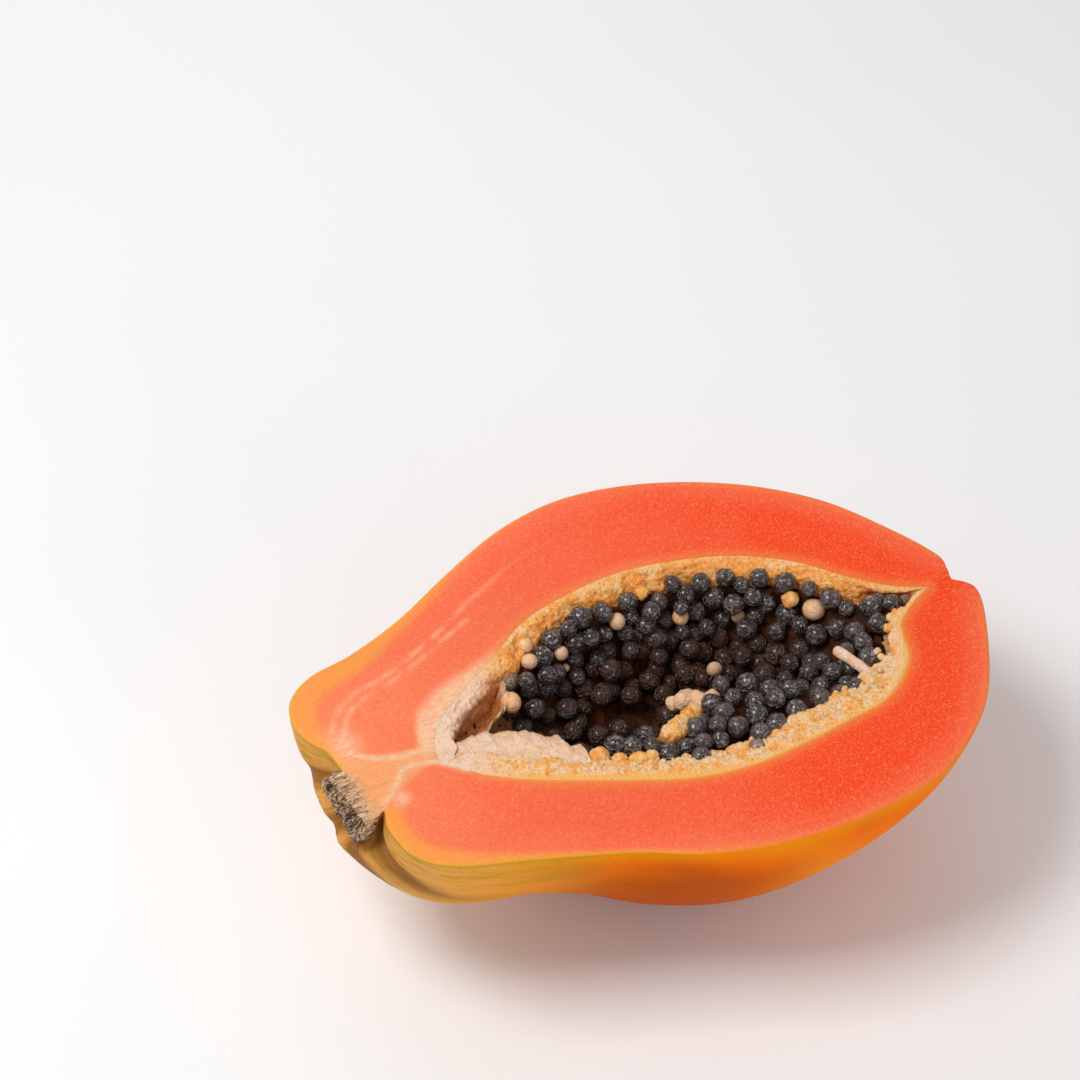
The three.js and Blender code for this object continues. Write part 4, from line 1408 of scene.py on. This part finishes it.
    def add_shade_bed(self, piece: Piece) -> None:
        """Add the dark bed under the seeds, painted shade between them: a bowl between the lining and the
        seeds' middles.
        """
        lengthwise, across = self.bed_grid
        rows, columns = np.linspace(0.17, 0.985, lengthwise), np.linspace(5, 175, across)
        along, angle = np.meshgrid(rows, columns, indexing="ij")
        lining = HOLLOW.lining(angle)
        bed = HOLLOW.seed_bed(CAVITY.points(along, angle)[..., 0], angle)
        outer = HOLLOW.inside(lining + 0.2, along, angle)
        inner = HOLLOW.inside(np.maximum(bed - 0.6, lining + 0.3), along, angle)
        outer[..., 2], inner[..., 2] = np.minimum(outer[..., 2], -5.4), np.minimum(inner[..., 2], -5.2)
        lower, upper = piece.add(outer), piece.add(inner)
        piece.skin_over(lower, 1)
        piece.skin_over(upper, 1, flip=True)
        piece.join_edges(lower, upper, 1)


@dataclass
class Stalk:
    """The stub of dried stalk in the stem hollow. Its end is torn off on a slope and runs back under.

    flare is rows of x and radius. A plane is its direction and its distance along it: the cut face, the
    root, the torn end and the undercut. heart is the middle that the directions start from.
    """

    flare: tuple = (
        (-9, 9.2), (-8.5, 9.4), (-7.8, 10.4), (-4.6, 10.2), (-2.4, 9.7), (-1, 8.7), (0.4, 7.4), (2, 6.2),
        (3.4, 5.6),
    )
    side: float = -1.5
    heart: tuple = (-1.5, -1.5, -2.6)
    planes: tuple = ((0, 0, 1, -0.02), (1, 0, 0, 3.4), (-1.28, -0.206, 1, 6.23), (-0.875, 0, -0.485, 8.77))
    rows: int = 180
    columns: int = 240
    halvings: int = 22

    def make(self) -> bpy.types.Object:
        """Build the stub from its middle outwards.

        In each direction its surface is the nearest of four planes (the cut face, the root, the torn end
        and the undercut) and of the flared round side, whose distance is found by halving. Noise drawn out
        along X then eats into it.

        Returns:
            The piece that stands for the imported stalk.
        """
        unit = unit_sphere(self.rows, self.columns)[..., [2, 0, 1]]
        heart = np.array(self.heart)
        planes = np.array(self.planes)
        ahead = unit @ planes[:, :3].T
        reach = (planes[:, 3] - planes[:, :3] @ heart) / np.where(ahead > 1e-6, ahead, 1e-6)
        low, high = np.zeros(unit.shape[:2]), reach.min(axis=-1)
        for _ in range(self.halvings):
            middle = (low + high) / 2
            outside = self.beyond(heart + unit * middle[..., None])
            low, high = np.where(outside, low, middle), np.where(outside, middle, high)
        points = heart + unit * low[..., None]
        flat = (reach - low[..., None]) < 0.02
        top, torn, under = flat[..., 0], flat[..., 2], flat[..., 3]
        threads = noise(points * np.array([0.35, 1.4, 1.4]), 1.0, 22, 3)
        rough = np.where(top, 0.1 + 0.55 * ease(points[..., 0], 1, -5), np.where(torn, 1.1, 0.6))
        rough = rough * ease(points[..., 0], 3.3, 1.5)
        points = points - unit * (rough * np.clip(0.35 + threads, 0, 1.4))[..., None]
        piece = Piece("stalk_stub")
        numbers = piece.add(points)
        numbers[0], numbers[-1] = numbers[0, 0], numbers[-1, 0]
        piece.skin_over(numbers, flip=True, closed=True)
        x, z = points[..., 0], points[..., 2]
        marks = {
            "out": ease(x, 0.5, -5.5), "root": ease(x, -2.6, 1.6),
            # side and underside at 0.85: dark bark, partly painted shade of the groove below
            "torn": np.where(top, 0.0, np.where(torn, 1.0, 0.85)) * ease(x, 2.5, 0.5),
            "crust": np.where(torn | under, ease(z, -2.2, -3.6) * ease(z, -6.5, -4.6), 0.0),
        }
        marks = {name: value.ravel() for name, value in marks.items()}
        return piece.build(Part.STALK, [StalkFinish().make()], marks)

    def beyond(self, points: Array) -> Array:
        """Return whether points are further from the flared side's axis than its radius there."""
        turn = np.arctan2(points[..., 2], points[..., 1] - self.side)
        ribs = 0.4 * np.cos(9 * turn) * ease(points[..., 0], 0.5, -1)
        radius = np.interp(points[..., 0], *zip(*self.flare)) + ribs
        return np.hypot(points[..., 1] - self.side, points[..., 2]) > radius


@dataclass
class Studio:
    """The pale floor, the soft lights and the camera."""

    azimuth: float = -24.5
    elevation: float = 50.0
    distance: float = 1019.4
    lens: float = 128.33
    look: tuple = (74.7, 56.7, 0.0)
    sky: float = 0.42
    lamps: tuple = (
        ("key", (-0.4, 0.1, 0.85), 0.36, 4.9),
        ("fill", (0.3, -0.9, 0.3), 0.6, 1.9),
        ("back", (0.1, 0.8, 0.6), 0.5, 1.2),
    )

    def make(self) -> None:
        """Build everything that isn't part of the fruit."""
        self.floor()
        for lamp in self.lamps:
            self.light(*lamp)
        world = bpy.data.worlds.new("studio")
        world.use_nodes = True
        world.node_tree.nodes["Background"].inputs[0].default_value = (1, 1, 1, 1)
        world.node_tree.nodes["Background"].inputs[1].default_value = self.sky
        bpy.context.scene.world = world
        bpy.context.scene.view_settings.view_transform = "Standard"
        self.camera()

    def floor(self) -> None:
        """Add the floor, 6 m square, at the height that the fruit rests on."""
        mesh = bpy.data.meshes.new("floor")
        mesh.from_pydata([(-3, -3, 0), (3, -3, 0), (3, 3, 0), (-3, 3, 0)], [], [(0, 1, 2, 3)])
        g = Graph("floor")
        shade = g.grain(g.spot(), 5, 2).rise(0.3, 0.7)
        pale = g.mix(shade, (0.9, 0.9, 0.9), (0.92, 0.92, 0.92))
        mesh.materials.append(g.finish(base_color=pale, roughness=0.9))
        made = bpy.data.objects.new("floor", mesh)
        bpy.context.collection.objects.link(made)

    def light(self, name: str, place: tuple, size: float, power: float) -> None:
        """Add a square soft light that points at the fruit.

        Args:
            name: its name.
            place: where it hangs, in metres.
            size: its side, in metres.
            power: its power, in watts.
        """
        lamp = bpy.data.lights.new(name, "AREA")
        lamp.size, lamp.energy = size, power
        made = bpy.data.objects.new(name, lamp)
        made.location = place
        made.rotation_euler = (Vector((0, 0, 0.04)) - Vector(place)).to_track_quat("-Z", "Y").to_euler()
        bpy.context.collection.objects.link(made)

    def camera(self) -> None:
        """Add the camera at the photograph's angle."""
        turn, lift = np.radians(self.azimuth), np.radians(self.elevation)
        back = np.array([np.sin(turn) * np.cos(lift), -np.cos(turn) * np.cos(lift), np.sin(lift)])
        place = GROUND.place(np.array(self.look) + back * self.distance)
        lens = bpy.data.cameras.new("camera")
        lens.lens, lens.sensor_width = self.lens, 36
        made = bpy.data.objects.new("camera", lens)
        turned = Vector(-back).to_track_quat("-Z", "Y").to_matrix().to_4x4()
        made.matrix_world = Matrix.Translation(Vector(place)) @ turned
        bpy.context.collection.objects.link(made)
        bpy.context.scene.camera = made


def main() -> None:
    logging.basicConfig(level=logging.INFO, format="%(name)s %(message)s")
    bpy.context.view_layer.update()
    lining = Lining()
    for sub_assembly in (Fruit(), lining, SeedMass(clear_of=lining.obstacles()), Stalk()):
        sub_assembly.make()
    Studio().make()


if __name__ == "__main__":
    main()
